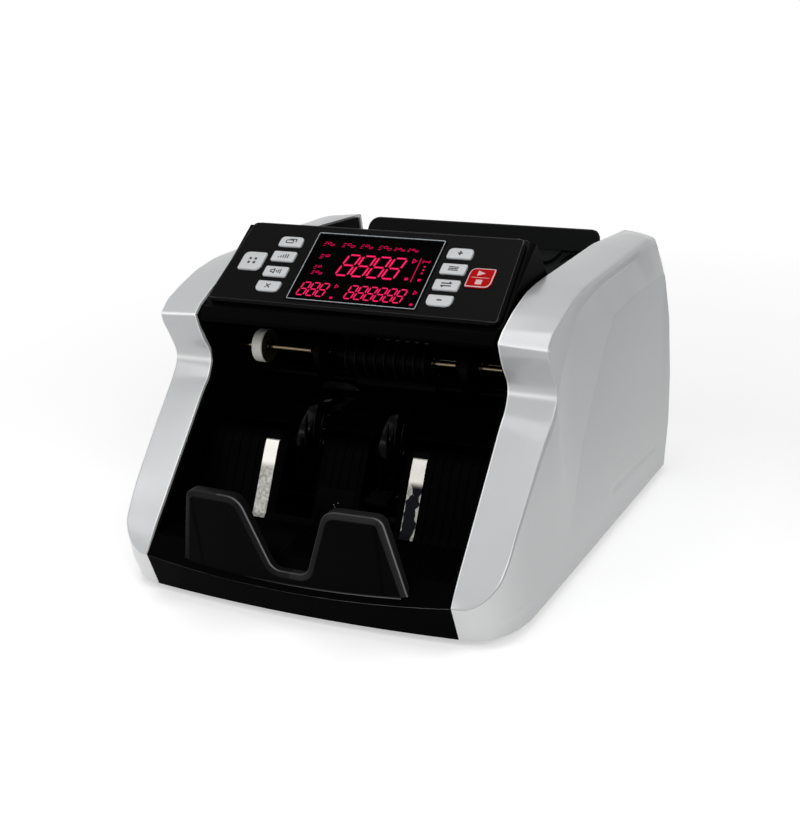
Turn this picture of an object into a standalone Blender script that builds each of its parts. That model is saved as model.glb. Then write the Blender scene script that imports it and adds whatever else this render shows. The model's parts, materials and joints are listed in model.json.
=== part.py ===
"""Tabletop banknote counter: covers, frame, control head, hopper, note path and stacker.

Metres, +Z up, the front looks along -Y. The origin is the middle of the footprint.
"""
import math

import bmesh
import bpy
from mathutils import Color, Vector

# Overall sizes
BODY_WIDTH = 0.245
THROAT_WIDTH = 0.1902
BODY_DEPTH = 0.299
COVER_HEIGHT = 0.162
FOOT_HEIGHT = 0.005
FIT_GAP = 0.0003
OVERRUN = 0.002

# Side covers
COVER_WALL = 0.0025
# One row per station from the nose over the top to the rear:
# inner edge as shares of half depth and height, outer crease as shares of
# cover width, half depth and height.
BAND_SHARES = (
    (-0.940, 0.155, 0.235, -0.940, 0.131),
    (-0.925, 0.172, 0.477, -0.917, 0.146),
    (-0.905, 0.194, 0.683, -0.894, 0.177),
    (-0.875, 0.225, 0.830, -0.860, 0.215),
    (-0.812, 0.284, 0.879, -0.803, 0.272),
    (-0.742, 0.352, 0.893, -0.740, 0.340),
    (-0.485, 0.599, 0.951, -0.488, 0.568),
    (-0.436, 0.636, 0.982, -0.428, 0.616),
    (-0.403, 0.690, 0.991, -0.377, 0.679),
    (-0.406, 0.738, 0.996, -0.387, 0.735),
    (-0.465, 0.840, 0.991, -0.445, 0.833),
    (-0.480, 0.888, 0.978, -0.458, 0.873),
    (-0.438, 0.918, 0.973, -0.405, 0.913),
    (-0.334, 0.959, 0.978, -0.308, 0.944),
    (-0.209, 0.991, 0.973, -0.187, 0.974),
    (-0.094, 1.000, 0.969, -0.054, 0.988),
    (0.512, 1.000, 0.893, 0.508, 0.975),
    (0.783, 0.978, 0.835, 0.790, 0.965),
    (0.916, 0.967, 0.754, 0.905, 0.943),
)
# Crown line between them on the last four rows
CROWN_SHARES = (
    (0.383, -0.075, 1.000),
    (0.383, 0.512, 1.005),
    (0.383, 0.783, 0.996),
    (0.383, 0.910, 0.972),
)
NOSE_SHARES = (-0.954, 0.138)
NOSE_FOOT_SHARE = -0.898
# Rear edge below the top, as shares of half depth and height
REAR_SHARES = ((0.943, 0.821), (0.983, 0.611), (1.0, 0.370), (0.983, 0.177), (0.926, 0.0))
# Rounded front corner: a belly ring and a foot ring, as shares of cover width and half depth
BELLY_SHARES = (
    (0.253, -0.917),
    (0.508, -0.896),
    (0.727, -0.866),
    (0.893, -0.819),
    (0.973, -0.756),
    (0.996, -0.669),
)
FOOT_RING_SHARES = (
    (0.213, -0.890),
    (0.432, -0.878),
    (0.616, -0.853),
    (0.781, -0.809),
    (0.915, -0.752),
    (0.991, -0.662),
)
BELLY_HEIGHT_SHARE = 0.070
# Valley and ridge lines that part the three flats of a cover's side
VALLEY_SHARES = (
    (0.928, -0.190, 0.785),
    (0.911, -0.062, 0.894),
    (0.897, 0.125, 0.928),
    (0.799, 0.905, 0.905),
)
RIDGE_SHARES = (
    (1.000, -0.361, 0.0),
    (1.000, -0.112, 0.457),
    (1.000, 0.155, 0.748),
    (0.996, 0.285, 0.831),
)
REAR_CORNER_X_SHARES = (0.875, 0.911, 0.920, 0.911, 0.888)
REAR_FLANK_SHARES = (
    (0.964, 0.915, 0.800),
    (0.996, 0.966, 0.611),
    (1.000, 0.984, 0.370),
    (1.000, 0.966, 0.177),
    (0.996, 0.906, 0.0),
)

# Steel side plates of the frame
PLATE_WALL = 0.0018
PLATE_INSET = 0.0012
PLATE_FRONT_SHARE = -0.906

# Base tray with its front skirt
BASE_WALL = 0.003
BASE_REACH_SHARE = 0.763
BASE_SHOULDER_SHARE = -0.635
BASE_CORNER = 0.012
SKIRT_BULGE_LOW = 0.0056
SKIRT_BULGE_HIGH = 0.0034
SKIRT_DIP = 0.0055
SKIRT_WALL = 0.0047
SKIRT_NOSE_DROP = 0.0006
LIP_TOP_SHARES = (-0.894, 0.194)
LIP_RISE_SHARE = 0.93
LIP_STATIONS_SHARES = (0.0, 0.2, 0.4, 0.6, 0.8, 1.0)
PLATE_NOTCH_TOP_SHARE = 0.5

# Front stop plate
STOP_LEDGE = 0.0010
STOP_TOP_HEIGHT_SHARE = 0.4245
STOP_WALL_TOP = 0.009
STOP_WALL_FOOT = 0.0058
STOP_SINK = 0.0015
STOP_BOW = 0.0041
STOP_FOOT_WIDTH = 0.1376
STOP_FLARE = 0.0076
STOP_NOTCH_TOP = 0.0530
STOP_NOTCH_FOOT = 0.0215
STOP_NOTCH_SILL = 0.0037
STOP_END = 0.0042
STOP_CORNER = 0.006
STOP_SHOULDER = 0.009
STOP_BEVEL = 0.0018

# Stacker tray: floor, rear wall and rolled top
TRAY_WALL = 0.0025
TRAY_PATH_SHARES = (
    (-0.652, 0.2050),
    (-0.632, 0.2190),
    (-0.5124, 0.4173),
    (-0.4923, 0.4444),
    (-0.4615, 0.4605),
    (-0.4281, 0.4640),
)
TRAY_SLOT_FOOT_SHARE = 0.236
TRAY_SLOT_TOP_SHARE = 0.6
WHEEL_SLOT_GAP = 0.0022

# Bright wear strips on the stacker wall
STRIP_WIDTH = 0.0088
STRIP_WALL = 0.0008
STRIP_PLACE = 0.0475

# Pocket sensor in the stacker wall
SENSOR_RADIUS = 0.003
SENSOR_DEPTH = 0.006
SENSOR_HEIGHT_SHARE = 0.285
SENSOR_TIP_SHARE = 0.7

# Control head
PANEL_FOOT_SHARES = (-0.4284, 0.9368)
PANEL_LENGTH = 0.0639
PANEL_TILT = math.radians(32.04)
PANEL_WALL = 0.003
PANEL_TAPER = 0.0029
PANEL_CORNER = 0.006
PANEL_EDGE = 0.0012
PANEL_SIDE_GAP = 0.0006
HEAD_WALL = 0.0025
HEAD_LIP_SHARES = ((-0.468, 0.862), (-0.474, 0.880), (-0.452, 0.912))
HEAD_CHEEK = 0.003
HEAD_BACK_SHARES = (0.060, 0.985)
HEAD_FOOT_SHARE = 0.895
HEAD_RIM = 0.004

# Display
WINDOW_WIDTH = 0.0812
WINDOW_HEIGHT = 0.0508
WINDOW_WALL = 0.002
WINDOW_SHIFT = 0.0005
WINDOW_LIFT = 0.0308
BEZEL_WIDTH = 0.0009
BEZEL_PROUD = 0.0003
MODULE_WALL = 0.0032
BOARD_WALL = 0.0016
BOARD_MARGIN = 0.003

# Keys: travel 1 mm into the panel
KEY_PROUD = 0.0009
KEY_TRAVEL = 0.001
KEY_FLANGE = 0.001
KEY_GAP = 0.0003
KEY_LENGTH = 0.0084
KEY_LARGE_LENGTH = 0.0146
KEY_CORNER = 0.0014
KEY_BIG_CORNER = 0.0036
# Gaps on the left and on the right: window to small keys, small to large keys, large key to rim
KEY_GAPS_LEFT = (0.0074, 0.0031, 0.0029)
KEY_GAPS_RIGHT = (0.0042, 0.0023, 0.0059)
KEY_SMALL_SHARE = 0.506
KEY_ROWS_SHARES = (0.757, 0.572, 0.383, 0.203)
KEY_LARGE_ROW_SHARE = 0.490

# Hopper
FLOOR_WALL = 0.0025
FLOOR_FRONT_SHARES = (0.094, 0.710)
FLOOR_REAR_SHARES = (0.816, 0.892)
BACK_WALL = 0.003
BACK_WIDTH = 0.165
BACK_TOP_SHARES = (0.845, 0.972)
BACK_CORNER = 0.010
GUIDE_WALL = 0.0028
GUIDE_FOOT = 0.011
GUIDE_FOOT_WALL = 0.0014
GUIDE_TRAVEL = 0.022
GUIDE_HEIGHT = 0.0155
GUIDE_SHARES = (0.30, 0.68)
GUIDE_KEEL_WIDTH = 0.006
GUIDE_KEEL_DEPTH = 0.005
GUIDE_EDGE_GAP = 0.0032

# Feed shaft and rollers
FEED_PLACE_SHARE = 0.190
FEED_RADIUS = 0.015
FEED_PROUD = 0.0015
FEED_SHAFT_RADIUS = 0.004
FEED_ROLLER_WIDTH = 0.016
FEED_ROLLER_PLACE = 0.038
FEED_SLOT_GAP = 0.002

# Separator bridge over the feed rollers, with its gap adjusting knob
BRIDGE_WIDTH = 0.098
BRIDGE_DEPTH = 0.024
BRIDGE_HEIGHT = 0.012
BRIDGE_PAD_GAP = 0.0012
KNOB_RADIUS = 0.008
KNOB_HEIGHT = 0.0065
KNOB_STEM_RADIUS = 0.003
KNOB_RIBS = 12

# Transport shaft
SHAFT_SIDES = 20
ROLLER_SIDES = 24
TRANSPORT_SHARES = (-0.234, 0.7160)
TRANSPORT_SHAFT_RADIUS = 0.003
TRANSPORT_RADIUS = 0.012
TRANSPORT_GROOVE = 0.0010
TRANSPORT_RIBS = 4
TRANSPORT_SPAN_SHARES = (-0.132, 0.42)
IDLER_RADIUS = 0.0100
IDLER_WIDTH = 0.0072
IDLER_PLACE_SHARE = -0.782
COLLAR_SHARES = ((-0.330, -0.285), (0.668, 0.729))
COLLAR_RADIUS = 0.016
# Pinch shaft below it
PINCH_SHARES = (-0.174, 0.605)
PINCH_SHAFT_RADIUS = 0.003
PINCH_GAP = 0.0005

# Stacker shaft and its bladed wheels
STACKER_SHARES = (-0.368, 0.4037)
STACKER_SHAFT_RADIUS = 0.004
STACKER_HUB_RADIUS = 0.0105
STACKER_RADIUS = 0.033
STACKER_WIDTH = 0.009
STACKER_PLACE = 0.026
STACKER_BLADES = 8
BLADE_POINTS = 5
BLADE_SWEEP = math.radians(62)
BLADE_ROOT = math.radians(24)
BLADE_TIP = math.radians(2.0)

# Guide chute between rollers and stacker wheels
CHUTE_WALL = 0.002
CHUTE_SHARES = ((-0.402, 0.4880), (-0.300, 0.5220), (-0.080, 0.5220))
CHUTE_BRIDGE = 0.007

# Counting sensor bar across the note path
SENSOR_BAR_SHARES = (0.028, 0.690)
SENSOR_BAR_DEPTH = 0.012
SENSOR_BAR_HEIGHT = 0.010

# Pulleys and belts in the side covers
PULLEY_WIDTH_SHARE = 0.281
PULLEY_RIM = 0.0012
PULLEY_FLANGE_SHARE = 0.143
PULLEY_STANDOFF_SHARE = 0.088
TRANSPORT_PULLEY_RADIUS = 0.008
FEED_PULLEY_RADIUS = 0.011
MOTOR_PULLEY_RADIUS = 0.007
STACKER_PULLEY_RADIUS = 0.018
STACKER_DRIVE_RADIUS = 0.006
BELT_WALL = 0.0012
BELT_WIDTH_SHARE = 0.8

# Motor and electrics
MOTOR_SHARES = (0.42, 0.245)
MOTOR_RADIUS = 0.019
MOTOR_LENGTH = 0.042
MOTOR_BOSS_RADIUS = 0.007
MOTOR_BOSS_LENGTH = 0.003
MOTOR_SHAFT_RADIUS = 0.0025
MOTOR_FOOT_WALL = 0.003
TRANSFORMER_SIZE = (0.052, 0.044, 0.040)
TRANSFORMER_SHARES = (0.581, 0.62)
CORE_MARGIN = 0.010
BOARD_SIZE = (0.060, 0.080)
BOARD_SHARES = (0.026, 0.05)
BOARD_POST_RADIUS = 0.003
BOARD_POST_SIDES = 10
BOARD_POST_HEIGHT = 0.006
BOARD_POST_INSET = 0.006
BOARD_CHIP_SHARES = ((-0.25, -0.25, 0.30, 0.22), (0.22, -0.2, 0.22, 0.30), (-0.1, 0.24, 0.44, 0.16))
CHIP_HEIGHT = 0.005

# Rear cover, inlet and rocker switch
REAR_WALL = 0.0025
REAR_INSET = 0.005
REAR_TOP_SHARE = 0.860
INLET_SIZE = (0.050, 0.024)
INLET_PLACE_SHARE = 0.396
INLET_HEIGHT_SHARE = 0.2735
INLET_DEPTH = 0.018
INLET_FLANGE = 0.0025
INLET_FLANGE_WALL = 0.002
SOCKET_SIZE = (0.024, 0.0165)
SOCKET_DEPTH = 0.014
SOCKET_PLACE = 0.0105
PIN_SIZE = (0.002, 0.005)
PIN_PITCH = 0.007
PIN_LENGTH_SHARE = 0.7
ROCKER_SIZE = (0.012, 0.019)
ROCKER_PLACE = -0.0145
ROCKER_DEPTH = 0.006
ROCKER_RISE = 0.0022
ROCKER_WELL = 0.010
ROCKER_GAP = 0.0006
ROCKER_WAIST_SHARE = 0.8

# Feet
FOOT_RADIUS = 0.0075
FOOT_TAPER = 0.001
FOOT_PEG_RADIUS = 0.003
FOOT_PEG_HEIGHT = 0.002
FOOT_X_SHARE = 0.819
FOOT_Y_SHARES = (-0.78, 0.80)

HALF_DEPTH = BODY_DEPTH / 2
THROAT_HALF = THROAT_WIDTH / 2
HALF_WIDTH = BODY_WIDTH / 2
COVER_WIDTH = HALF_WIDTH - THROAT_HALF
DRIVE_ROOM = COVER_WIDTH - COVER_WALL
PULLEY_WIDTH = PULLEY_WIDTH_SHARE * DRIVE_ROOM
PULLEY_FLANGE = PULLEY_FLANGE_SHARE * PULLEY_WIDTH
PULLEY_STANDOFF = PULLEY_STANDOFF_SHARE * DRIVE_ROOM
BELT_WIDTH = BELT_WIDTH_SHARE * (PULLEY_WIDTH - 2 * PULLEY_FLANGE)
PLATE_OUT = THROAT_HALF - FIT_GAP
PLATE_IN = PLATE_OUT - PLATE_WALL
INSIDE = PLATE_IN - FIT_GAP
BASE_TOP = FOOT_HEIGHT + BASE_WALL
CIRCLE = 2 * math.pi
SMOOTH_ANGLE = math.radians(40)


def across(share):
    """Place across the machine from its share of the room between the frame plates."""
    return share * INSIDE


def outward(share):
    """Place across a side cover from its share of the cover's width."""
    return THROAT_HALF + share * COVER_WIDTH


def along(share):
    """Place from front to rear from its share of the half depth."""
    return share * HALF_DEPTH


def height(share):
    """Height above the ground from its share of the cover height."""
    return FOOT_HEIGHT + share * COVER_HEIGHT


def yz(shares):
    """Point in the side view from its two shares."""
    return (along(shares[0]), height(shares[1]))


def clear_scene():
    for item in list(bpy.data.objects):
        bpy.data.objects.remove(item, do_unlink=True)


def material(name, colour, roughness, metallic=0.0):
    """Plain finish from an sRGB colour written as a hex number."""
    made = bpy.data.materials.new(name)
    made.use_nodes = True
    shader = made.node_tree.nodes["Principled BSDF"]
    channels = [(colour >> shift & 255) / 255 for shift in (16, 8, 0)]
    linear = tuple(Color(channels).from_srgb_to_scene_linear())
    shader.inputs["Base Color"].default_value = (*linear, 1.0)
    shader.inputs["Roughness"].default_value = roughness
    shader.inputs["Metallic"].default_value = metallic
    made.diffuse_color = (*linear, 1.0)
    return made


def put(name, form, finish, place=(0, 0, 0), parent=None, smooth=False):
    """Turn a mesh form into a named object."""
    bmesh.ops.recalc_face_normals(form, faces=form.faces)
    mesh = bpy.data.meshes.new(name)
    form.to_mesh(mesh)
    form.free()
    if smooth:
        mesh.shade_smooth()
        mesh.set_sharp_from_angle(angle=SMOOTH_ANGLE)
    made = bpy.data.objects.new(name, mesh)
    made.location = place
    made.parent = parent
    if finish is not None:
        mesh.materials.append(finish)
    bpy.context.scene.collection.objects.link(made)
    return made


def guide(name, form, place=(0, 0, 0), parent=None):
    """A hidden object that only cuts or adds to others."""
    made = put(name, form, None, place, parent)
    made.hide_render = True
    made.display_type = "WIRE"
    return made


def combine(target, other, operation):
    step = target.modifiers.new(other.name, "BOOLEAN")
    step.object = other
    step.operation = operation
    step.solver = "EXACT"


def cut(target, name, form, place=(0, 0, 0), parent=None):
    combine(target, guide(name, form, place, parent), "DIFFERENCE")


def fuse(target, name, form, place=(0, 0, 0), parent=None):
    combine(target, guide(name, form, place, parent), "UNION")


def loft(rings, closed=False):
    """Skin over rings of equal point count; a closed loft joins its last ring to its first."""
    form = bmesh.new()
    rows = [[form.verts.new(point) for point in ring] for ring in rings]
    count = len(rows[0])
    pairs = list(zip(rows, rows[1:]))
    if closed:
        pairs.append((rows[-1], rows[0]))
    for low, high in pairs:
        for i in range(count):
            j = (i + 1) % count
            form.faces.new((low[i], low[j], high[j], high[i]))
    if not closed:
        form.faces.new(list(reversed(rows[0])))
        form.faces.new(rows[-1])
    return form


def prism(outline, low, high, axis="X"):
    """Extrude an outline along an axis; the outline's pair keeps the order of the other two."""
    turn = {
        "X": lambda a, b, c: (c, a, b),
        "Y": lambda a, b, c: (a, c, b),
        "Z": lambda a, b, c: (a, b, c),
    }[axis]
    return loft([[turn(a, b, c) for a, b in outline] for c in (low, high)])


def block(low, high):
    outline = [(low[0], low[1]), (high[0], low[1]), (high[0], high[1]), (low[0], high[1])]
    return prism(outline, low[2], high[2], "Z")


def merge(forms):
    """Put several separate forms in one mesh."""
    whole = bmesh.new()
    for form in forms:
        mesh = bpy.data.meshes.new("merge")
        bmesh.ops.recalc_face_normals(form, faces=form.faces)
        form.to_mesh(mesh)
        form.free()
        whole.from_mesh(mesh)
        bpy.data.meshes.remove(mesh)
    return whole


def circle(radius, sides, centre=(0, 0), turn=0.0):
    angles = [turn + CIRCLE * i / sides for i in range(sides)]
    return [(centre[0] + radius * math.cos(a), centre[1] + radius * math.sin(a)) for a in angles]


def turned(steps, sides, axis="X", bore=None):
    """Round piece about an axis from steps of (place along it, radius), with an optional bore."""
    turn = {"X": lambda a, b, c: (c, a, b), "Y": lambda a, b, c: (a, c, b),
            "Z": lambda a, b, c: (a, b, c)}[axis]
    rings = [[turn(a, b, place) for a, b in circle(radius, sides)] for place, radius in steps]
    if bore is None:
        return loft(rings)
    for place in (steps[-1][0], steps[0][0]):
        rings.append([turn(a, b, place) for a, b in circle(bore, sides)])
    return loft(rings, closed=True)


def shifted(path, distance):
    """Parallel path at a distance to the left of an open path, with mitred corners."""
    points = [Vector(point) for point in path]
    normals = []
    for a, b in zip(points, points[1:]):
        run = (b - a).normalized()
        normals.append(Vector((-run.y, run.x)))
    moved = []
    for i, point in enumerate(points):
        before = normals[max(i - 1, 0)]
        after = normals[min(i, len(normals) - 1)]
        mid = (before + after).normalized()
        moved.append(tuple(point + mid * (distance / mid.dot(after))))
    return moved


def sheet(path, wall, low, high):
    """Bent sheet whose left side lies on a side-view path, between two places across."""
    return prism(list(path) + list(reversed(shifted(path, -wall))), low, high)


def cut_corner(corner, before, after, radius, steps):
    """Points of an arc that rounds one corner of an outline."""
    corner, before, after = Vector(corner), Vector(before), Vector(after)
    first = (before - corner).normalized()
    last = (after - corner).normalized()
    half = first.angle(last) / 2
    reach = min(radius / math.tan(half), (before - corner).length / 2, (after - corner).length / 2)
    radius = reach * math.tan(half)
    centre = corner + (first + last).normalized() * (radius / math.sin(half))
    start = corner + first * reach - centre
    end = corner + last * reach - centre
    sweep = math.pi - 2 * half
    side = 1 if start.x * end.y - start.y * end.x > 0 else -1
    points = []
    for i in range(steps + 1):
        a = side * sweep * i / steps
        turned_to = Vector((start.x * math.cos(a) - start.y * math.sin(a),
                            start.x * math.sin(a) + start.y * math.cos(a)))
        points.append(tuple(centre + turned_to))
    return points


def rounded(outline, radii, steps=3):
    """Outline with each corner rounded to its own radius; zero keeps the corner."""
    points = []
    count = len(outline)
    for i, corner in enumerate(outline):
        if radii[i] == 0:
            points.append(corner)
            continue
        before = outline[i - 1]
        after = outline[(i + 1) % count]
        points += cut_corner(corner, before, after, radii[i], steps)
    return points


def rectangle(width, length, centre=(0, 0)):
    x, y = centre
    return [(x - width / 2, y - length / 2), (x + width / 2, y - length / 2),
            (x + width / 2, y + length / 2), (x - width / 2, y + length / 2)]


def profile():
    """Inner edge of a side cover in the side view, front foot over the top to rear foot."""
    points = [(NOSE_FOOT_SHARE, 0.0), NOSE_SHARES]
    points += [(row[0], row[1]) for row in BAND_SHARES]
    points += list(REAR_SHARES)
    return [yz(point) for point in points]


def cover_skin(side):
    """Outer skin of a side cover, open towards the frame and the ground."""
    form = bmesh.new()
    rim = THROAT_HALF - OVERRUN
    sunk = FOOT_HEIGHT - OVERRUN

    def spot(x, y, z):
        return form.verts.new((x, y, z))

    def patch(*corners):
        form.faces.new(corners)

    def fan(hub, *rim_points):
        for a, b in zip(rim_points, rim_points[1:]):
            form.faces.new((hub, a, b))

    inner = [spot(rim, *yz((row[0], row[1]))) for row in BAND_SHARES]
    crease = [spot(outward(row[2]), along(row[3]), height(row[4])) for row in BAND_SHARES]
    nose = spot(rim, *yz(NOSE_SHARES))
    belly_y = along((NOSE_SHARES[0] + NOSE_FOOT_SHARE) / 2)
    belly = [spot(rim, belly_y, height(BELLY_HEIGHT_SHARE))]
    foot = [spot(rim, along(NOSE_FOOT_SHARE), sunk)]
    for x, y in BELLY_SHARES:
        belly.append(spot(outward(x), along(y), height(BELLY_HEIGHT_SHARE)))
    for x, y in FOOT_RING_SHARES:
        foot.append(spot(outward(x), along(y), sunk))
    rear_in = [spot(rim, *yz(point)) for point in REAR_SHARES]
    rear_out = [spot(outward(x), *yz(point)) for x, point in zip(REAR_CORNER_X_SHARES, REAR_SHARES)]
    flank = [spot(outward(x), along(y), height(z)) for x, y, z in REAR_FLANK_SHARES]
    for corner in (rear_in[-1], rear_out[-1], flank[-1]):
        corner.co.z = sunk
    valley = [spot(outward(x), along(y), height(z)) for x, y, z in VALLEY_SHARES]
    ridge = [spot(outward(x), along(y), height(z)) for x, y, z in RIDGE_SHARES]
    ridge[0].co.z = sunk

    crown = [spot(outward(x), along(y), height(z)) for x, y, z in CROWN_SHARES]
    bare = len(inner) - len(crown)
    patch(nose, crease[0], inner[0])
    for i in range(bare - 1):
        patch(inner[i], crease[i], crease[i + 1], inner[i + 1])
    fan(crown[0], inner[bare], inner[bare - 1], crease[bare - 1], crease[bare])
    for i in range(bare, len(inner) - 1):
        top = i - bare
        patch(inner[i], crown[top], crown[top + 1], inner[i + 1])
        patch(crown[top], crease[i], crease[i + 1], crown[top + 1])
    outer = [nose] + crease[:6]
    for i in range(6):
        patch(belly[i], belly[i + 1], outer[i + 1], outer[i])
        patch(foot[i], foot[i + 1], belly[i + 1], belly[i])
    patch(foot[6], ridge[0], belly[6])
    patch(belly[6], ridge[0], crease[5])
    patch(crease[5], ridge[0], ridge[1], crease[6])
    fan(ridge[1], crease[8], crease[7], crease[6])
    patch(ridge[1], ridge[2], valley[0], crease[8])
    patch(valley[0], ridge[2], ridge[3], valley[1])
    patch(valley[1], ridge[3], valley[2])
    patch(valley[2], ridge[3], flank[0], valley[3])
    fan(valley[0], crease[10], crease[9], crease[8])
    fan(valley[1], crease[12], crease[11], crease[10], valley[0])
    fan(valley[2], crease[15], crease[14], crease[13], crease[12], valley[1])
    fan(valley[2], valley[3], crease[18], crease[17], crease[16], crease[15])
    patch(ridge[3], ridge[2], flank[1], flank[0])
    patch(ridge[2], ridge[1], flank[2], flank[1])
    fan(ridge[1], ridge[0], flank[4], flank[3], flank[2])
    patch(crease[18], valley[3], flank[0], rear_out[0])
    fan(rear_out[0], rear_in[0], inner[18], crown[3], crease[18])
    for i in range(4):
        patch(rear_in[i], rear_out[i], rear_out[i + 1], rear_in[i + 1])
        patch(rear_out[i], flank[i], flank[i + 1], rear_out[i + 1])
    if side < 0:
        bmesh.ops.scale(form, verts=form.verts, vec=(-1, 1, 1))
        bmesh.ops.reverse_faces(form, faces=form.faces)
    return form


def side_cover(name, side, finish):
    """Moulded shell with its open side against the frame plate."""
    form = cover_skin(side)
    mesh = bpy.data.meshes.new(name)
    form.to_mesh(mesh)
    form.free()
    mesh.materials.append(finish)
    cover = bpy.data.objects.new(name, mesh)
    bpy.context.scene.collection.objects.link(cover)
    wall = cover.modifiers.new("wall", "SOLIDIFY")
    wall.thickness = COVER_WALL
    wall.offset = -1
    wall.use_even_offset = True
    wall.use_rim = True
    reach = BODY_WIDTH + BODY_DEPTH
    trim = block((-THROAT_HALF, -reach, -reach), (THROAT_HALF, reach, reach))
    cut(cover, name + "_rim_trim", trim)
    below = block((-reach, -reach, -reach), (reach, reach, FOOT_HEIGHT))
    cut(cover, name + "_foot_trim", below)
    return cover


def crossing(a, b, c, d):
    """Where the line through a and b meets the line through c and d."""
    run, other = (b[0] - a[0], b[1] - a[1]), (d[0] - c[0], d[1] - c[1])
    gap = (c[0] - a[0], c[1] - a[1])
    turn = run[0] * other[1] - run[1] * other[0]
    share = (gap[0] * other[1] - gap[1] * other[0]) / turn
    return (a[0] + share * run[0], a[1] + share * run[1])


def rear_path(inset):
    """Rear edge of the side view, top to foot, at a distance inside it."""
    return shifted([yz(BAND_SHARES[-1][:2])] + [yz(point) for point in REAR_SHARES], -inset)


def side_plate(name, side, finish, bores):
    """Steel frame plate that carries the shafts; bores are (shaft place, radius)."""
    top = shifted([yz(row[:2]) for row in BAND_SHARES], -PLATE_INSET)
    rear = rear_path(REAR_INSET + REAR_WALL + FIT_GAP)
    front = along(PLATE_FRONT_SHARE)
    foot = BASE_TOP + FIT_GAP
    upper = [point for point in top[:-1] if point[0] > front]
    outline = [(front, foot), (front, crossing(upper[0], upper[1], (front, 0), (front, 1))[1])]
    outline += upper + [crossing(top[-2], top[-1], rear[0], rear[1])] + rear[1:-1]
    outline.append(crossing(rear[-2], rear[-1], (0, foot), (1, foot)))
    low, high = sorted((side * PLATE_IN, side * PLATE_OUT))
    plate = put(name, prism(outline, low, high), finish)
    holes = []
    for centre, radius in bores:
        ring = circle(radius + FIT_GAP, SHAFT_SIDES, centre)
        holes.append(prism(ring, low - OVERRUN, high + OVERRUN))
    cut(plate, name + "_bores", merge(holes))
    return plate


def skirt_section(share):
    """Cross-section of the front skirt at a share of the throat's half width."""
    bow = 1 - share * share
    x = share * PLATE_OUT
    lip_y, lip_z = yz(LIP_TOP_SHARES)
    foot_y = along(NOSE_FOOT_SHARE) - SKIRT_BULGE_LOW * bow
    nose_y, nose_z = yz(NOSE_SHARES)
    crease_y = nose_y - SKIRT_BULGE_HIGH * bow
    crease_z = nose_z - SKIRT_NOSE_DROP - SKIRT_DIP * bow
    back = lip_y + SKIRT_WALL
    ledge_z = lip_z - TRAY_WALL - 2 * FIT_GAP
    points = [(foot_y, FOOT_HEIGHT), (crease_y, crease_z), (lip_y, lip_z), (lip_y, ledge_z),
              (back, ledge_z), (back, FOOT_HEIGHT)]
    return [(x, y, z) for y, z in points]


def lip_height(y):
    """Height of the sloping lip at a place from front to rear."""
    lip_y, lip_z = yz(LIP_TOP_SHARES)
    return lip_z - LIP_RISE_SHARE * (lip_y - y)


def stop_foot():
    """Front foot of the stop plate's ends, on the lip."""
    y = along(LIP_TOP_SHARES[0]) - STOP_LEDGE - STOP_WALL_FOOT
    return (y, lip_height(y))


def stop_bow(x):
    """How far the stop plate bows forward of its ends at a place across."""
    return STOP_BOW * (1 - min(abs(x) / (STOP_FOOT_WIDTH / 2), 1) ** 2)


def stop_skyline(grow):
    """Upper edge of the stop plate as (place across, height above its foot), left to right."""
    foot_y, foot_z = stop_foot()
    top = height(STOP_TOP_HEIGHT_SHARE) - foot_z + grow
    half_foot = STOP_FOOT_WIDTH / 2 + grow
    half_top = half_foot - STOP_FLARE
    notch_top, notch_foot = STOP_NOTCH_TOP / 2 - grow, STOP_NOTCH_FOOT / 2 - grow
    sill = STOP_NOTCH_SILL + grow
    corners = [(-half_foot, STOP_END), (-half_top, top), (-notch_top, top), (-notch_foot, sill),
               (notch_foot, sill), (notch_top, top), (half_top, top), (half_foot, STOP_END)]
    radii = [0, STOP_CORNER, STOP_SHOULDER, STOP_CORNER, STOP_CORNER, STOP_SHOULDER, STOP_CORNER, 0]
    return rounded(corners, radii)


def stop_solid(grow=0.0):
    """Bowed stop plate standing in the lip, grown by a clearance."""
    foot_y, foot_z = stop_foot()
    full = height(STOP_TOP_HEIGHT_SHARE) - foot_z
    foremost = min(abs(x) for x, top in stop_skyline(0) if top > full - FIT_GAP / 2)
    lean = (foot_y + HALF_DEPTH - stop_bow(foremost)) / (full - STOP_BEVEL)
    rings = []
    for x, top in stop_skyline(grow):
        bow = stop_bow(x)
        front_foot = foot_y - bow - grow
        back_foot = foot_y - bow + STOP_WALL_FOOT + grow
        front_top = foot_y - bow - grow - top * lean
        share = top / full
        back_top = back_foot + share * (STOP_WALL_TOP - STOP_WALL_FOOT - full * lean)
        sink = STOP_SINK + 2 * grow
        bevel = min(STOP_BEVEL, top / 2)
        rings.append([
            (x, front_foot, lip_height(front_foot) - sink),
            (x, front_top + bevel * lean, foot_z + top - bevel),
            (x, front_top + bevel, foot_z + top),
            (x, back_top, foot_z + top),
            (x, back_foot, lip_height(back_foot) - sink),
        ])
    return loft(rings)


def stop_plate(finish):
    return put("front_stop_plate", stop_solid(), finish)


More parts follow.
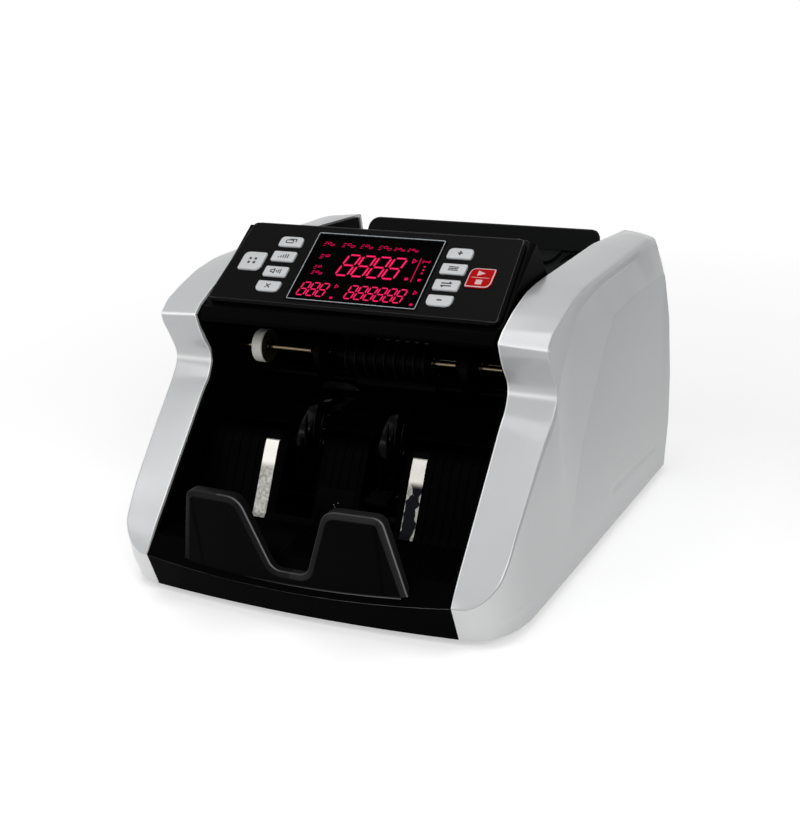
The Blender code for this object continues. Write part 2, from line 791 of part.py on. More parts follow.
def base_tray(finish, foot_places):
    shares = [-s for s in reversed(LIP_STATIONS_SHARES[1:])] + list(LIP_STATIONS_SHARES)
    tray = put("base_tray", loft([skirt_section(share) for share in shares]), finish)
    skirt_back = along(LIP_TOP_SHARES[0]) + SKIRT_WALL
    narrow = INSIDE
    wide = outward(BASE_REACH_SHARE)
    shoulder = along(BASE_SHOULDER_SHARE)
    rear_in = rear_path(REAR_INSET + REAR_WALL + FIT_GAP)
    rear = crossing(rear_in[-2], rear_in[-1], (0, FOOT_HEIGHT), (1, FOOT_HEIGHT))[0]
    front = skirt_back - OVERRUN
    plan = [(-narrow, front), (narrow, front), (narrow, shoulder), (wide, shoulder),
            (wide, rear - BASE_CORNER), (wide - BASE_CORNER, rear), (BASE_CORNER - wide, rear),
            (-wide, rear - BASE_CORNER), (-wide, shoulder), (-narrow, shoulder)]
    fuse(tray, "base_slab", prism(plan, FOOT_HEIGHT, BASE_TOP, "Z"))
    notches = []
    for side in (-1, 1):
        low, high = sorted((side * (PLATE_IN - FIT_GAP), side * (PLATE_OUT + OVERRUN)))
        start = along(PLATE_FRONT_SHARE) - FIT_GAP
        notches.append(block((low, start, BASE_TOP), (high, shoulder, height(PLATE_NOTCH_TOP_SHARE))))
    cut(tray, "plate_notches", merge(notches))
    cut(tray, "stop_recess", stop_solid(FIT_GAP))
    pegs = []
    for x, y in foot_places:
        ring = circle(FOOT_PEG_RADIUS + FIT_GAP, SHAFT_SIDES, (x, y))
        pegs.append(prism(ring, FOOT_HEIGHT - OVERRUN, BASE_TOP + OVERRUN, "Z"))
    cut(tray, "peg_holes", merge(pegs))
    return tray


def tray_path():
    """Top surface of the stacker floor, its wall and the rolled top edge."""
    lip_y, lip_z = yz(LIP_TOP_SHARES)
    return [(lip_y + FIT_GAP, lip_z - FIT_GAP)] + [yz(point) for point in TRAY_PATH_SHARES]


def stacker_tray(finish):
    tray = put("stacker_tray", sheet(tray_path(), TRAY_WALL, -INSIDE, INSIDE), finish)
    slots = []
    reach = STACKER_WIDTH / 2 + WHEEL_SLOT_GAP
    front = along(TRAY_PATH_SHARES[0][0])
    for x in (-STACKER_PLACE, STACKER_PLACE):
        low = (x - reach, front, height(TRAY_SLOT_FOOT_SHARE))
        slots.append(block(low, (x + reach, 0, height(TRAY_SLOT_TOP_SHARE))))
    cut(tray, "wheel_slots", merge(slots))
    centre = sensor_place()
    loose = SENSOR_RADIUS + FIT_GAP
    bore = turned([(-TRAY_WALL * 4, loose), (TRAY_WALL * 4, loose)], SHAFT_SIDES, "Y")
    hole = guide("sensor_hole", bore, centre)
    hole.rotation_euler.x = wall_lean()
    combine(tray, hole, "DIFFERENCE")
    return tray


def wall_lean():
    low, high = yz(TRAY_PATH_SHARES[1]), yz(TRAY_PATH_SHARES[2])
    return -math.atan2(high[0] - low[0], high[1] - low[1])


def sensor_place():
    """Middle of the pocket sensor's face, on the stacker wall."""
    low, high = yz(TRAY_PATH_SHARES[1]), yz(TRAY_PATH_SHARES[2])
    z = height(SENSOR_HEIGHT_SHARE)
    share = (z - low[1]) / (high[1] - low[1])
    return (0, low[0] + share * (high[0] - low[0]), z)


def pocket_sensor(finish):
    """Sensor capsule pushed through the stacker wall."""
    steps = [(0, SENSOR_RADIUS * SENSOR_TIP_SHARE), (FIT_GAP * 2, SENSOR_RADIUS),
             (SENSOR_DEPTH, SENSOR_RADIUS)]
    made = put("pocket_sensor", turned(steps, SHAFT_SIDES, "Y"), finish, sensor_place(), smooth=True)
    made.rotation_euler.x = wall_lean()
    return made


def wear_strip(name, side, finish):
    """Bent steel strip on the stacker wall."""
    path = tray_path()[1:6]
    face = shifted(path, FIT_GAP + STRIP_WALL)
    middle = side * STRIP_PLACE
    form = sheet(face, STRIP_WALL, middle - STRIP_WIDTH / 2, middle + STRIP_WIDTH / 2)
    return put(name, form, finish)


def note_chute(finish):
    """Bent guide behind the stacker wheels, slotted for them."""
    path = [yz(point) for point in CHUTE_SHARES]
    chute = put("note_chute", sheet(path, CHUTE_WALL, -INSIDE, INSIDE), finish)
    reach = STACKER_WIDTH / 2 + WHEEL_SLOT_GAP
    slots = []
    front = path[0][0] - OVERRUN
    rear = path[-1][0] - CHUTE_BRIDGE
    for x in (-STACKER_PLACE, STACKER_PLACE):
        low = (x - reach, front, path[0][1] - 2 * CHUTE_WALL - OVERRUN)
        slots.append(block(low, (x + reach, rear, path[-1][1] + OVERRUN)))
    cut(chute, "chute_slots", merge(slots))
    return chute


def panel_widths():
    foot = 2 * (INSIDE - PANEL_SIDE_GAP)
    return foot, foot - 2 * PANEL_TAPER


def panel_outline(inset=0.0):
    foot, top = panel_widths()
    corners = [(-foot / 2 + inset, inset), (foot / 2 - inset, inset),
               (top / 2 - inset, PANEL_LENGTH - inset), (-top / 2 + inset, PANEL_LENGTH - inset)]
    return rounded(corners, [PANEL_CORNER] * 4)


def panel_top():
    """Top edge of the panel in the side view."""
    y, z = yz(PANEL_FOOT_SHARES)
    return (y + PANEL_LENGTH * math.cos(PANEL_TILT), z + PANEL_LENGTH * math.sin(PANEL_TILT))


def under_panel(point, depth):
    """Point sunk below the panel's face, square to it."""
    return (point[0] + depth * math.sin(PANEL_TILT), point[1] - depth * math.cos(PANEL_TILT))


def head_outline(inset):
    """Side view of the head: front lip, slope under the panel, crest, back and foot."""
    lips = [yz(point) for point in HEAD_LIP_SHARES]
    deck = PANEL_WALL + FIT_GAP
    foot = under_panel(yz(PANEL_FOOT_SHARES), deck)
    crest = under_panel(panel_top(), deck)
    back = yz(HEAD_BACK_SHARES)
    heel = (back[0], height(HEAD_FOOT_SHARE))
    path = lips + [foot, crest, back, heel]
    if inset == 0:
        return path
    inner = shifted(path, -inset)
    inner[0] = (inner[0][0], lips[0][1] - OVERRUN)
    inner[-1] = (inner[-1][0], heel[1] - OVERRUN)
    low = lips[0][1] - OVERRUN
    return [(inner[0][0], low)] + inner + [(inner[-1][0], low)]


def head_housing(finish):
    """Wedge-shaped shell of the head, open below."""
    form = prism(head_outline(0), -INSIDE, INSIDE)
    head = put("head_housing", form, finish)
    hollow = prism(head_outline(HEAD_WALL), -INSIDE + HEAD_WALL, INSIDE - HEAD_WALL)
    cut(head, "head_hollow", hollow)
    return head


def head_opening(head, plane):
    """Opening under the panel for the keys and the display."""
    foot, top = panel_widths()
    half = top / 2 - HEAD_RIM
    outline = rectangle(2 * half, PANEL_LENGTH - 2 * HEAD_RIM, (0, PANEL_LENGTH / 2))
    form = prism(outline, -PANEL_WALL - HEAD_WALL - 2 * OVERRUN, OVERRUN, "Z")
    cut(head, "head_opening", form, parent=plane)


def key_outline(size, radii, grow=0.0):
    width, length = size
    grown = [radius + grow if radius else 0 for radius in radii]
    return rounded(rectangle(width + 2 * grow, length + 2 * grow), grown, 2)


def key_columns(side, gaps):
    """Centre and width of the small and of the large keys in the room beside the window."""
    start = WINDOW_WIDTH / 2 + side * WINDOW_SHIFT
    rim = panel_widths()[1] / 2 - HEAD_RIM
    room = rim - start - sum(gaps)
    small = KEY_SMALL_SHARE * room
    large = room - small
    near = start + gaps[0] + small / 2
    far = rim - gaps[2] - large / 2
    return (side * near, small), (side * far, large)


def key_table():
    """Name, centre, size and corner radii of each key."""
    small, big = KEY_CORNER, KEY_BIG_CORNER
    top = (small, small, big, big)
    mid = (small, small, small, small)
    low = (big, big, small, small)
    left_names = ("key_currency", "key_value", "key_voice", "key_clear")
    right_names = ("key_plus", "key_mode", "key_auto", "key_minus")
    rows = [share * PANEL_LENGTH for share in KEY_ROWS_SHARES]
    radii = (top, mid, mid, low)
    large_row = KEY_LARGE_ROW_SHARE * PANEL_LENGTH
    sides = ((-1, KEY_GAPS_LEFT, left_names, "key_function"),
             (1, KEY_GAPS_RIGHT, right_names, "key_start"))
    table = []
    for side, gaps, names, large_name in sides:
        (x, width), (large_x, large_width) = key_columns(side, gaps)
        for name, row, shape in zip(names, rows, radii):
            table.append((name, (x, row), (width, KEY_LENGTH), shape))
        large_size = (large_width, KEY_LARGE_LENGTH)
        table.append((large_name, (large_x, large_row), large_size, (small, big, small, big)))
    return table


def key_form(size, radii):
    """Key cap with a flange that holds it under the panel."""
    face = key_outline((size[0] - 2 * KEY_GAP, size[1] - 2 * KEY_GAP), radii)
    flange = key_outline(size, radii, KEY_FLANGE / 2)
    crown = key_outline((size[0] - 4 * KEY_GAP, size[1] - 4 * KEY_GAP), radii)
    under = -PANEL_WALL - FIT_GAP
    levels = ((flange, under - KEY_FLANGE), (flange, under), (face, under),
              (face, KEY_PROUD - KEY_GAP), (crown, KEY_PROUD))
    return loft([[(x, y, z) for x, y in ring] for ring, z in levels])


def panel_fascia(finish, plane):
    levels = ((panel_outline(), -PANEL_WALL), (panel_outline(), -PANEL_EDGE),
              (panel_outline(PANEL_EDGE), 0))
    form = loft([[(x, y, z) for x, y in ring] for ring, z in levels])
    fascia = put("panel_fascia", form, finish, parent=plane)
    holes = []
    for _, (x, y), size, radii in key_table():
        ring = [(x + a, y + b) for a, b in key_outline(size, radii)]
        holes.append(prism(ring, -PANEL_WALL - OVERRUN, OVERRUN, "Z"))
    frame = 2 * (BEZEL_WIDTH + FIT_GAP)
    ring = rectangle(WINDOW_WIDTH + frame, WINDOW_HEIGHT + frame, (WINDOW_SHIFT, WINDOW_LIFT))
    holes.append(prism(ring, -PANEL_WALL - OVERRUN, OVERRUN, "Z"))
    cut(fascia, "panel_holes", merge(holes), parent=plane)
    return fascia


def display(plane, glass, trim, dark, board):
    """Window, its thin frame, the display module and the key board behind."""
    centre = (WINDOW_SHIFT, WINDOW_LIFT)
    pane = rectangle(WINDOW_WIDTH - 2 * FIT_GAP, WINDOW_HEIGHT - 2 * FIT_GAP, centre)
    put("display_window", prism(pane, -WINDOW_WALL, 0, "Z"), glass, parent=plane)
    outer = rectangle(WINDOW_WIDTH + 2 * BEZEL_WIDTH, WINDOW_HEIGHT + 2 * BEZEL_WIDTH, centre)
    inner = rectangle(WINDOW_WIDTH, WINDOW_HEIGHT, centre)
    levels = ((outer, -WINDOW_WALL), (outer, BEZEL_PROUD), (inner, BEZEL_PROUD),
              (inner, -WINDOW_WALL))
    rings = [[(x, y, z) for x, y in ring] for ring, z in levels]
    put("display_bezel", loft(rings, closed=True), trim, parent=plane)
    module_top = -WINDOW_WALL - FIT_GAP
    module_low = module_top - MODULE_WALL
    put("display_module", prism(pane, module_low, module_top, "Z"), dark, parent=plane)
    foot, top = panel_widths()
    width = top - BOARD_MARGIN
    sheet_top = -PANEL_WALL - 2 * FIT_GAP - HEAD_WALL
    plan = rectangle(width, PANEL_LENGTH - 2 * BOARD_MARGIN, (0, PANEL_LENGTH / 2))
    put("key_board", prism(plan, sheet_top - BOARD_WALL, sheet_top, "Z"), board, parent=plane)


def floor_path():
    return [yz(FLOOR_FRONT_SHARES), yz(FLOOR_REAR_SHARES)]


def floor_tilt():
    (y0, z0), (y1, z1) = floor_path()
    return math.atan2(z1 - z0, y1 - y0)


def floor_height(y):
    (y0, z0), _ = floor_path()
    return z0 + (y - y0) * math.tan(floor_tilt())


def feed_centre():
    """Feed shaft axis, sunk so that the rollers stand just proud of the floor."""
    y = along(FEED_PLACE_SHARE)
    depth = FEED_RADIUS - FEED_PROUD
    tilt = floor_tilt()
    return (y + depth * math.sin(tilt), floor_height(y) - depth * math.cos(tilt))


def guide_span():
    """Front and rear of a note guide."""
    return along(GUIDE_SHARES[0]), along(GUIDE_SHARES[1])


def guide_outline():
    front, rear = guide_span()
    low = FIT_GAP
    return [(front, floor_height(front) + low), (rear, floor_height(rear) + low),
            (rear, floor_height(rear) + GUIDE_HEIGHT), (front, floor_height(front) + GUIDE_HEIGHT)]


def hopper_guide(name, side, finish):
    """Upright note guide with a foot on the floor and a keel through the floor's slot."""
    face = INSIDE - GUIDE_EDGE_GAP
    low, high = sorted((side * (face - GUIDE_WALL), side * face))
    wall = put(name, prism(guide_outline(), low, high), finish)
    front, rear = guide_span()
    toe = face - GUIDE_WALL - GUIDE_FOOT
    low, high = sorted((side * toe, side * face))
    flat = [(front, floor_height(front) + FIT_GAP), (rear, floor_height(rear) + FIT_GAP),
            (rear, floor_height(rear) + FIT_GAP + GUIDE_FOOT_WALL),
            (front, floor_height(front) + FIT_GAP + GUIDE_FOOT_WALL)]
    fuse(wall, name + "_foot", prism(flat, low, high))
    y = (front + rear) / 2
    half = GUIDE_KEEL_WIDTH / 2
    z = floor_height(y)
    low, high = sorted((side * (face - GUIDE_WALL), side * face))
    keel = block((low, y - half, z - GUIDE_KEEL_DEPTH), (high, y + half, z + GUIDE_FOOT_WALL))
    fuse(wall, name + "_keel", keel)
    return wall


def hopper_floor(finish):
    floor = put("hopper_floor", sheet(floor_path(), FLOOR_WALL, -INSIDE, INSIDE), finish)
    y, z = feed_centre()
    half = FEED_ROLLER_WIDTH / 2 + FEED_SLOT_GAP
    slots = []
    for x in (-FEED_ROLLER_PLACE, FEED_ROLLER_PLACE):
        reach = FEED_RADIUS + FEED_SLOT_GAP
        slots.append(block((x - half, y - reach, z), (x + half, y + reach, z + 2 * reach)))
    front, rear = guide_span()
    middle = (front + rear) / 2
    half = GUIDE_KEEL_WIDTH / 2 + 2 * FIT_GAP
    face = INSIDE - GUIDE_EDGE_GAP
    for side in (-1, 1):
        low, high = sorted((side * (face - GUIDE_WALL - GUIDE_TRAVEL - 2 * FIT_GAP),
                            side * (face + 2 * FIT_GAP)))
        z = floor_height(middle)
        start = (low, middle - half, z - 4 * FLOOR_WALL)
        slots.append(block(start, (high, middle + half, z + OVERRUN * 2)))
    cut(floor, "floor_slots", merge(slots))
    return floor


def hopper_back(finish):
    """Leaning back plate on the rear edge of the hopper floor."""
    foot_y = along(FLOOR_REAR_SHARES[0]) - BACK_WALL - FIT_GAP
    foot_z = floor_height(foot_y + BACK_WALL) + FIT_GAP
    top_y, top_z = yz(BACK_TOP_SHARES)
    lean = (top_y - foot_y) / (top_z - foot_z)
    rise = top_z - foot_z
    half = BACK_WIDTH / 2
    corners = [(-half, 0), (half, 0), (half, rise), (-half, rise)]
    outline = rounded(corners, [0, 0, BACK_CORNER, BACK_CORNER], 4)
    form = prism(outline, 0, BACK_WALL, "Z")
    for corner in form.verts:
        x, up, out = corner.co
        corner.co = (x, foot_y + up * lean + out, foot_z + up)
    return put("hopper_back_plate", form, finish)


def separator_bridge(finish):
    """Block behind the head that holds the separator pads over the feed rollers."""
    start = along(HEAD_BACK_SHARES[0]) + FIT_GAP
    end = start + BRIDGE_DEPTH
    top = height(HEAD_BACK_SHARES[1]) - BRIDGE_PAD_GAP
    low = top - BRIDGE_HEIGHT
    half = BRIDGE_WIDTH / 2
    bridge = put("separator_bridge", block((-half, start, low), (half, end, top)), finish)
    pads = []
    y, z = feed_centre()
    pad_low = z + FEED_RADIUS + BRIDGE_PAD_GAP
    for x in (-FEED_ROLLER_PLACE, FEED_ROLLER_PLACE):
        reach = FEED_ROLLER_WIDTH / 2
        pads.append(block((x - reach, start, pad_low), (x + reach, end, low + OVERRUN)))
    fuse(bridge, "bridge_pads", merge(pads))
    knob_y = (start + end) / 2
    hole = circle(KNOB_STEM_RADIUS + FIT_GAP, SHAFT_SIDES, (0, knob_y))
    cut(bridge, "knob_hole", prism(hole, top - BRIDGE_HEIGHT / 2, top + OVERRUN, "Z"))
    return (0, knob_y, top)


def adjust_knob(finish, place):
    """Ribbed gap adjusting knob on a stem."""
    ribs = []
    for i in range(2 * KNOB_RIBS):
        radius = KNOB_RADIUS if i % 2 else KNOB_RADIUS - 2 * FIT_GAP
        angle = CIRCLE * i / (2 * KNOB_RIBS)
        ribs.append((radius * math.cos(angle), radius * math.sin(angle)))
    knob = put("gap_adjust_knob", prism(ribs, FIT_GAP, KNOB_HEIGHT, "Z"), finish, place)
    ends = (-BRIDGE_HEIGHT / 2 + FIT_GAP, KNOB_HEIGHT / 2)
    stem = turned([(end, KNOB_STEM_RADIUS) for end in ends], SHAFT_SIDES, "Z")
    fuse(knob, "knob_stem", stem, place)
    return knob


def pulley_steps(side, radius):
    """Flanged pulley outside a side plate, as steps along the shaft."""
    start = PLATE_OUT + PULLEY_STANDOFF
    end = start + PULLEY_WIDTH
    rim = radius + PULLEY_RIM
    steps = [(start, rim), (start + PULLEY_FLANGE, rim), (start + PULLEY_FLANGE, radius),
             (end - PULLEY_FLANGE, radius), (end - PULLEY_FLANGE, rim), (end, rim)]
    if side < 0:
        steps = [(-place, size) for place, size in reversed(steps)]
    return steps


def shaft_reach():
    """Far end of a shaft that carries a pulley outside the side plate."""
    return PLATE_OUT + PULLEY_STANDOFF + PULLEY_WIDTH + PULLEY_FLANGE


def feed_train(steel, rubber):
    y, z = feed_centre()
    plain = PLATE_OUT + PULLEY_STANDOFF / 2
    steps = [(-shaft_reach(), FEED_SHAFT_RADIUS)] + pulley_steps(-1, FEED_PULLEY_RADIUS)
    steps += [(steps[-1][0], FEED_SHAFT_RADIUS), (plain, FEED_SHAFT_RADIUS)]
    steps.insert(1, (steps[1][0], FEED_SHAFT_RADIUS))
    put("feed_shaft", turned(steps, SHAFT_SIDES), steel, (0, y, z), smooth=True)
    half = FEED_ROLLER_WIDTH / 2
    rollers = (("feed_roller_left", -FEED_ROLLER_PLACE), ("feed_roller_right", FEED_ROLLER_PLACE))
    for name, x in rollers:
        steps = [(-half, FEED_RADIUS), (half, FEED_RADIUS)]
        form = turned(steps, ROLLER_SIDES, bore=FEED_SHAFT_RADIUS + FIT_GAP)
        bmesh.ops.translate(form, verts=form.verts, vec=(x, 0, 0))
        put(name, form, rubber, (0, y, z), smooth=True)


def ribbed_steps(low, high, radius, groove, ribs):
    """Rubber sleeve with grooves between its ribs."""
    pitch = (high - low) / (2 * ribs - 1)
    steps = []
    for i in range(2 * ribs - 1):
        size = radius if i % 2 == 0 else radius - groove
        steps += [(low + i * pitch, size), (low + (i + 1) * pitch, size)]
    return steps


def transport_train(steel, nylon, rubber, dark):
    y, z = yz(TRANSPORT_SHARES)
    place = (0, y, z)
    drive = pulley_steps(1, STACKER_DRIVE_RADIUS)
    radius = TRANSPORT_SHAFT_RADIUS
    steps = [(-shaft_reach(), radius), (drive[0][0], radius)] + drive
    steps += [(drive[-1][0], radius), (shaft_reach(), radius)]
    put("transport_shaft", turned(steps, SHAFT_SIDES), steel, place, smooth=True)
    bore = radius + FIT_GAP

    def ring(name, steps, finish):
        put(name, turned(steps, ROLLER_SIDES, bore=bore), finish, place, smooth=True)

    middle = across(IDLER_PLACE_SHARE)
    half = IDLER_WIDTH / 2
    soft = FIT_GAP * 2
    steps = [(middle - half, IDLER_RADIUS - soft), (middle - half + soft, IDLER_RADIUS),
             (middle + half - soft, IDLER_RADIUS), (middle + half, IDLER_RADIUS - soft)]
    ring("idler_wheel", steps, nylon)
    low, high = (across(share) for share in TRANSPORT_SPAN_SHARES)
    steps = ribbed_steps(low, high, TRANSPORT_RADIUS, TRANSPORT_GROOVE, TRANSPORT_RIBS)
    ring("transport_roller", steps, rubber)
    for name, shares in zip(("side_roller_left", "side_roller_right"), COLLAR_SHARES):
        low, high = (across(share) for share in shares)
        ring(name, [(low, COLLAR_RADIUS), (high, COLLAR_RADIUS)], dark)
    steps = pulley_steps(-1, TRANSPORT_PULLEY_RADIUS)
    ring("transport_pulley", steps, dark)


def pinch_radius():
    """Pinch roller radius that leaves the note gap under the transport roller."""
    upper, lower = Vector(yz(TRANSPORT_SHARES)), Vector(yz(PINCH_SHARES))
    return (upper - lower).length - TRANSPORT_RADIUS - PINCH_GAP


def pinch_shaft(finish):
    """Ground steel shaft with its pinch roller turned on it."""
    y, z = yz(PINCH_SHARES)
    plain = PLATE_OUT + PULLEY_STANDOFF / 2
    thin, thick = PINCH_SHAFT_RADIUS, pinch_radius()
    low, high = (across(share) for share in TRANSPORT_SPAN_SHARES)
    steps = [(-plain, thin), (low, thin), (low, thick), (high, thick), (high, thin), (plain, thin)]
    put("pinch_shaft", turned(steps, ROLLER_SIDES), finish, (0, y, z), smooth=True)


def wheel_outline():
    """Hub with swept blades that taper to a point."""
    points = []
    pitch = CIRCLE / STACKER_BLADES
    for blade in range(STACKER_BLADES):
        base = blade * pitch
        for i in range(BLADE_POINTS):
            t = i / (BLADE_POINTS - 1)
            radius = STACKER_HUB_RADIUS + t * (STACKER_RADIUS - STACKER_HUB_RADIUS)
            angle = base + BLADE_SWEEP * t * t
            points.append((radius * math.cos(angle), radius * math.sin(angle)))
        for i in reversed(range(BLADE_POINTS)):
            t = i / (BLADE_POINTS - 1)
            radius = STACKER_HUB_RADIUS + t * (STACKER_RADIUS - STACKER_HUB_RADIUS)
            wide = BLADE_ROOT + (BLADE_TIP - BLADE_ROOT) * math.sqrt(t)
            angle = base + BLADE_SWEEP * t * t + wide
            points.append((radius * math.cos(angle), radius * math.sin(angle)))
    return points


def stacker_train(steel, gloss):
    y, z = yz(STACKER_SHARES)
    place = (0, y, z)
    radius = STACKER_SHAFT_RADIUS
    plain = PLATE_OUT + PULLEY_STANDOFF / 2
    pulley = pulley_steps(1, STACKER_PULLEY_RADIUS)
    steps = [(-plain, radius), (pulley[0][0], radius)] + pulley
    steps += [(pulley[-1][0], radius), (shaft_reach(), radius)]
    put("stacker_shaft", turned(steps, SHAFT_SIDES), steel, place, smooth=True)
    half = STACKER_WIDTH / 2
    wheels = (("stacker_wheel_left", -STACKER_PLACE), ("stacker_wheel_right", STACKER_PLACE))
    for name, x in wheels:
        wheel = put(name, prism(wheel_outline(), x - half, x + half), gloss, place)
        ends = (x - STACKER_WIDTH, x + STACKER_WIDTH)
        bore = turned([(end, radius + FIT_GAP) for end in ends], SHAFT_SIDES)
        cut(wheel, name + "_bore", bore, place)


def hull(points):
    """Convex outline round a set of points."""
    points = sorted(points)
    chains = []
    for run in (points, list(reversed(points))):
        chain = []
        for p in run:
            while len(chain) > 1:
                a, b = chain[-2], chain[-1]
                if (b[0] - a[0]) * (p[1] - a[1]) - (b[1] - a[1]) * (p[0] - a[0]) > 0:
                    break
                chain.pop()
            chain.append(p)
        chains.append(chain[:-1])
    return chains[0] + chains[1]


def belt(name, side, wheels, finish):
    """Belt round pulleys, given as (axis place, running radius)."""
    def ring(grow):
        points = []
        for centre, radius in wheels:
            points += circle(radius + grow, ROLLER_SIDES, centre, math.pi / ROLLER_SIDES)
        return hull(points)

    start = PLATE_OUT + PULLEY_STANDOFF + (PULLEY_WIDTH - BELT_WIDTH) / 2
    end = start + BELT_WIDTH
    low, high = sorted((side * start, side * end))
    made = put(name, prism(ring(2 * FIT_GAP + BELT_WALL), low, high), finish)
    cut(made, name + "_inside", prism(ring(2 * FIT_GAP), low - OVERRUN, high + OVERRUN))
    return made


def motor(metal, dark):
    """Drive motor bolted inside the left plate, with its pulley outside."""
    y, z = yz(MOTOR_SHARES)
    face = -INSIDE
    steps = [(face, MOTOR_BOSS_RADIUS), (face + MOTOR_BOSS_LENGTH, MOTOR_BOSS_RADIUS),
             (face + MOTOR_BOSS_LENGTH, MOTOR_RADIUS),
             (face + MOTOR_BOSS_LENGTH + MOTOR_LENGTH, MOTOR_RADIUS)]
    body = put("drive_motor", turned(steps, ROLLER_SIDES), metal, (0, y, z), smooth=True)
    stem = MOTOR_BOSS_LENGTH + MOTOR_BOSS_RADIUS
    loose = MOTOR_SHAFT_RADIUS + FIT_GAP
    bore = turned([(face - OVERRUN, loose), (face + stem, loose)], SHAFT_SIDES)
    cut(body, "motor_bore", bore, (0, y, z))
    steps = pulley_steps(-1, MOTOR_PULLEY_RADIUS)
    tip = face + stem - 2 * FIT_GAP
    steps += [(steps[-1][0], MOTOR_SHAFT_RADIUS), (tip, MOTOR_SHAFT_RADIUS)]
    put("motor_pulley", turned(steps, SHAFT_SIDES), dark, (0, y, z), smooth=True)


def transformer(finish):
    """Laminated core with a taller winding in the middle."""
    x, y = across(TRANSFORMER_SHARES[0]), along(TRANSFORMER_SHARES[1])
    width, depth, tall = TRANSFORMER_SIZE
    foot = BASE_TOP + FIT_GAP
    low = (x - width / 2, y - depth / 2 + CORE_MARGIN / 2, foot)
    core = block(low, (x + width / 2, y + depth / 2 - CORE_MARGIN / 2, foot + tall))
    made = put("transformer", core, finish)
    low = (x - width / 2 + CORE_MARGIN, y - depth / 2, foot + CORE_MARGIN / 2)
    high = (x + width / 2 - CORE_MARGIN, y + depth / 2, foot + tall - CORE_MARGIN / 2)
    fuse(made, "winding", block(low, high))
    return made


def main_board(finish):
    """Circuit board on posts, with its larger chips."""
    x, y = across(BOARD_SHARES[0]), along(BOARD_SHARES[1])
    width, depth = BOARD_SIZE
    foot = BASE_TOP + FIT_GAP
    low = foot + BOARD_POST_HEIGHT
    top = low + BOARD_WALL
    sheet_form = block((x - width / 2, y - depth / 2, low), (x + width / 2, y + depth / 2, top))
    made = put("main_board", sheet_form, finish)
    extras = []
    for i in (-1, 1):
        for j in (-1, 1):
            centre = (x + i * (width / 2 - BOARD_POST_INSET), y + j * (depth / 2 - BOARD_POST_INSET))
            post = circle(BOARD_POST_RADIUS, BOARD_POST_SIDES, centre)
            extras.append(prism(post, foot, low + BOARD_WALL / 2, "Z"))
    for cx, cy, wide, deep in BOARD_CHIP_SHARES:
        a = (x + (cx - wide / 2) * width, y + (cy - deep / 2) * depth, low + BOARD_WALL / 2)
        b = (x + (cx + wide / 2) * width, y + (cy + deep / 2) * depth, top + CHIP_HEIGHT)
        extras.append(block(a, b))
    fuse(made, "board_parts", merge(extras))
    return made


def inlet_plane():
    """Place and tilt of the inlet on the upright flat of the rear cover."""
    path = rear_path(REAR_INSET)
    high, low = path[-3], path[-2]
    z = height(INLET_HEIGHT_SHARE)
    y = crossing(high, low, (0, z), (1, z))[0]
    return (across(INLET_PLACE_SHARE), y, z), -math.atan2(high[0] - low[0], high[1] - low[1])


def rear_cover(finish, plane):
    """Curved back wall between the side covers."""
    outer = rear_path(REAR_INSET)
    inner = rear_path(REAR_INSET + REAR_WALL)
    top, foot = height(REAR_TOP_SHARE), FOOT_HEIGHT
    for path in (outer, inner):
        path[0] = crossing(path[0], path[1], (0, top), (1, top))
        path[-1] = crossing(path[-2], path[-1], (0, foot), (1, foot))
    form = prism(outer + list(reversed(inner)), -PLATE_OUT, PLATE_OUT)
    cover = put("rear_cover", form, finish)
    ring = rectangle(INLET_SIZE[0] + 2 * FIT_GAP, INLET_SIZE[1] + 2 * FIT_GAP)
    cut(cover, "inlet_hole", prism(ring, -4 * REAR_WALL, 4 * REAR_WALL, "Y"), parent=plane)
    return cover


def power_inlet(finish, plane):
    """Inlet socket and switch well in one moulded block, behind a flange."""
    width, tall = INLET_SIZE
    made = put("power_inlet", prism(rectangle(width, tall), -INLET_DEPTH, 2 * FIT_GAP, "Y"), finish,
               parent=plane)
    flange = rectangle(width + 2 * INLET_FLANGE, tall + 2 * INLET_FLANGE)
    lift = 2 * FIT_GAP
    fuse(made, "inlet_flange", prism(flange, FIT_GAP, lift + INLET_FLANGE_WALL, "Y"), parent=plane)
    socket = prism(rectangle(*SOCKET_SIZE, (SOCKET_PLACE, 0)), lift + INLET_FLANGE_WALL - SOCKET_DEPTH,
                   lift + INLET_FLANGE_WALL + OVERRUN, "Y")
    well_size = (ROCKER_SIZE[0] + 2 * ROCKER_GAP, ROCKER_SIZE[1] + 2 * ROCKER_GAP)
    well = prism(rectangle(*well_size, (ROCKER_PLACE, 0)), lift + INLET_FLANGE_WALL - ROCKER_WELL,
                 lift + INLET_FLANGE_WALL + OVERRUN, "Y")
    cut(made, "inlet_wells", merge([socket, well]), parent=plane)
    pins = []
    base = lift + INLET_FLANGE_WALL - SOCKET_DEPTH
    for i in (-1, 0, 1):
        ring = rectangle(*PIN_SIZE, (SOCKET_PLACE + i * PIN_PITCH, (1 - abs(i)) * PIN_SIZE[0]))
        pins.append(prism(ring, base - OVERRUN / 2, base + SOCKET_DEPTH * PIN_LENGTH_SHARE, "Y"))
    fuse(made, "inlet_pins", merge(pins), parent=plane)
    return made


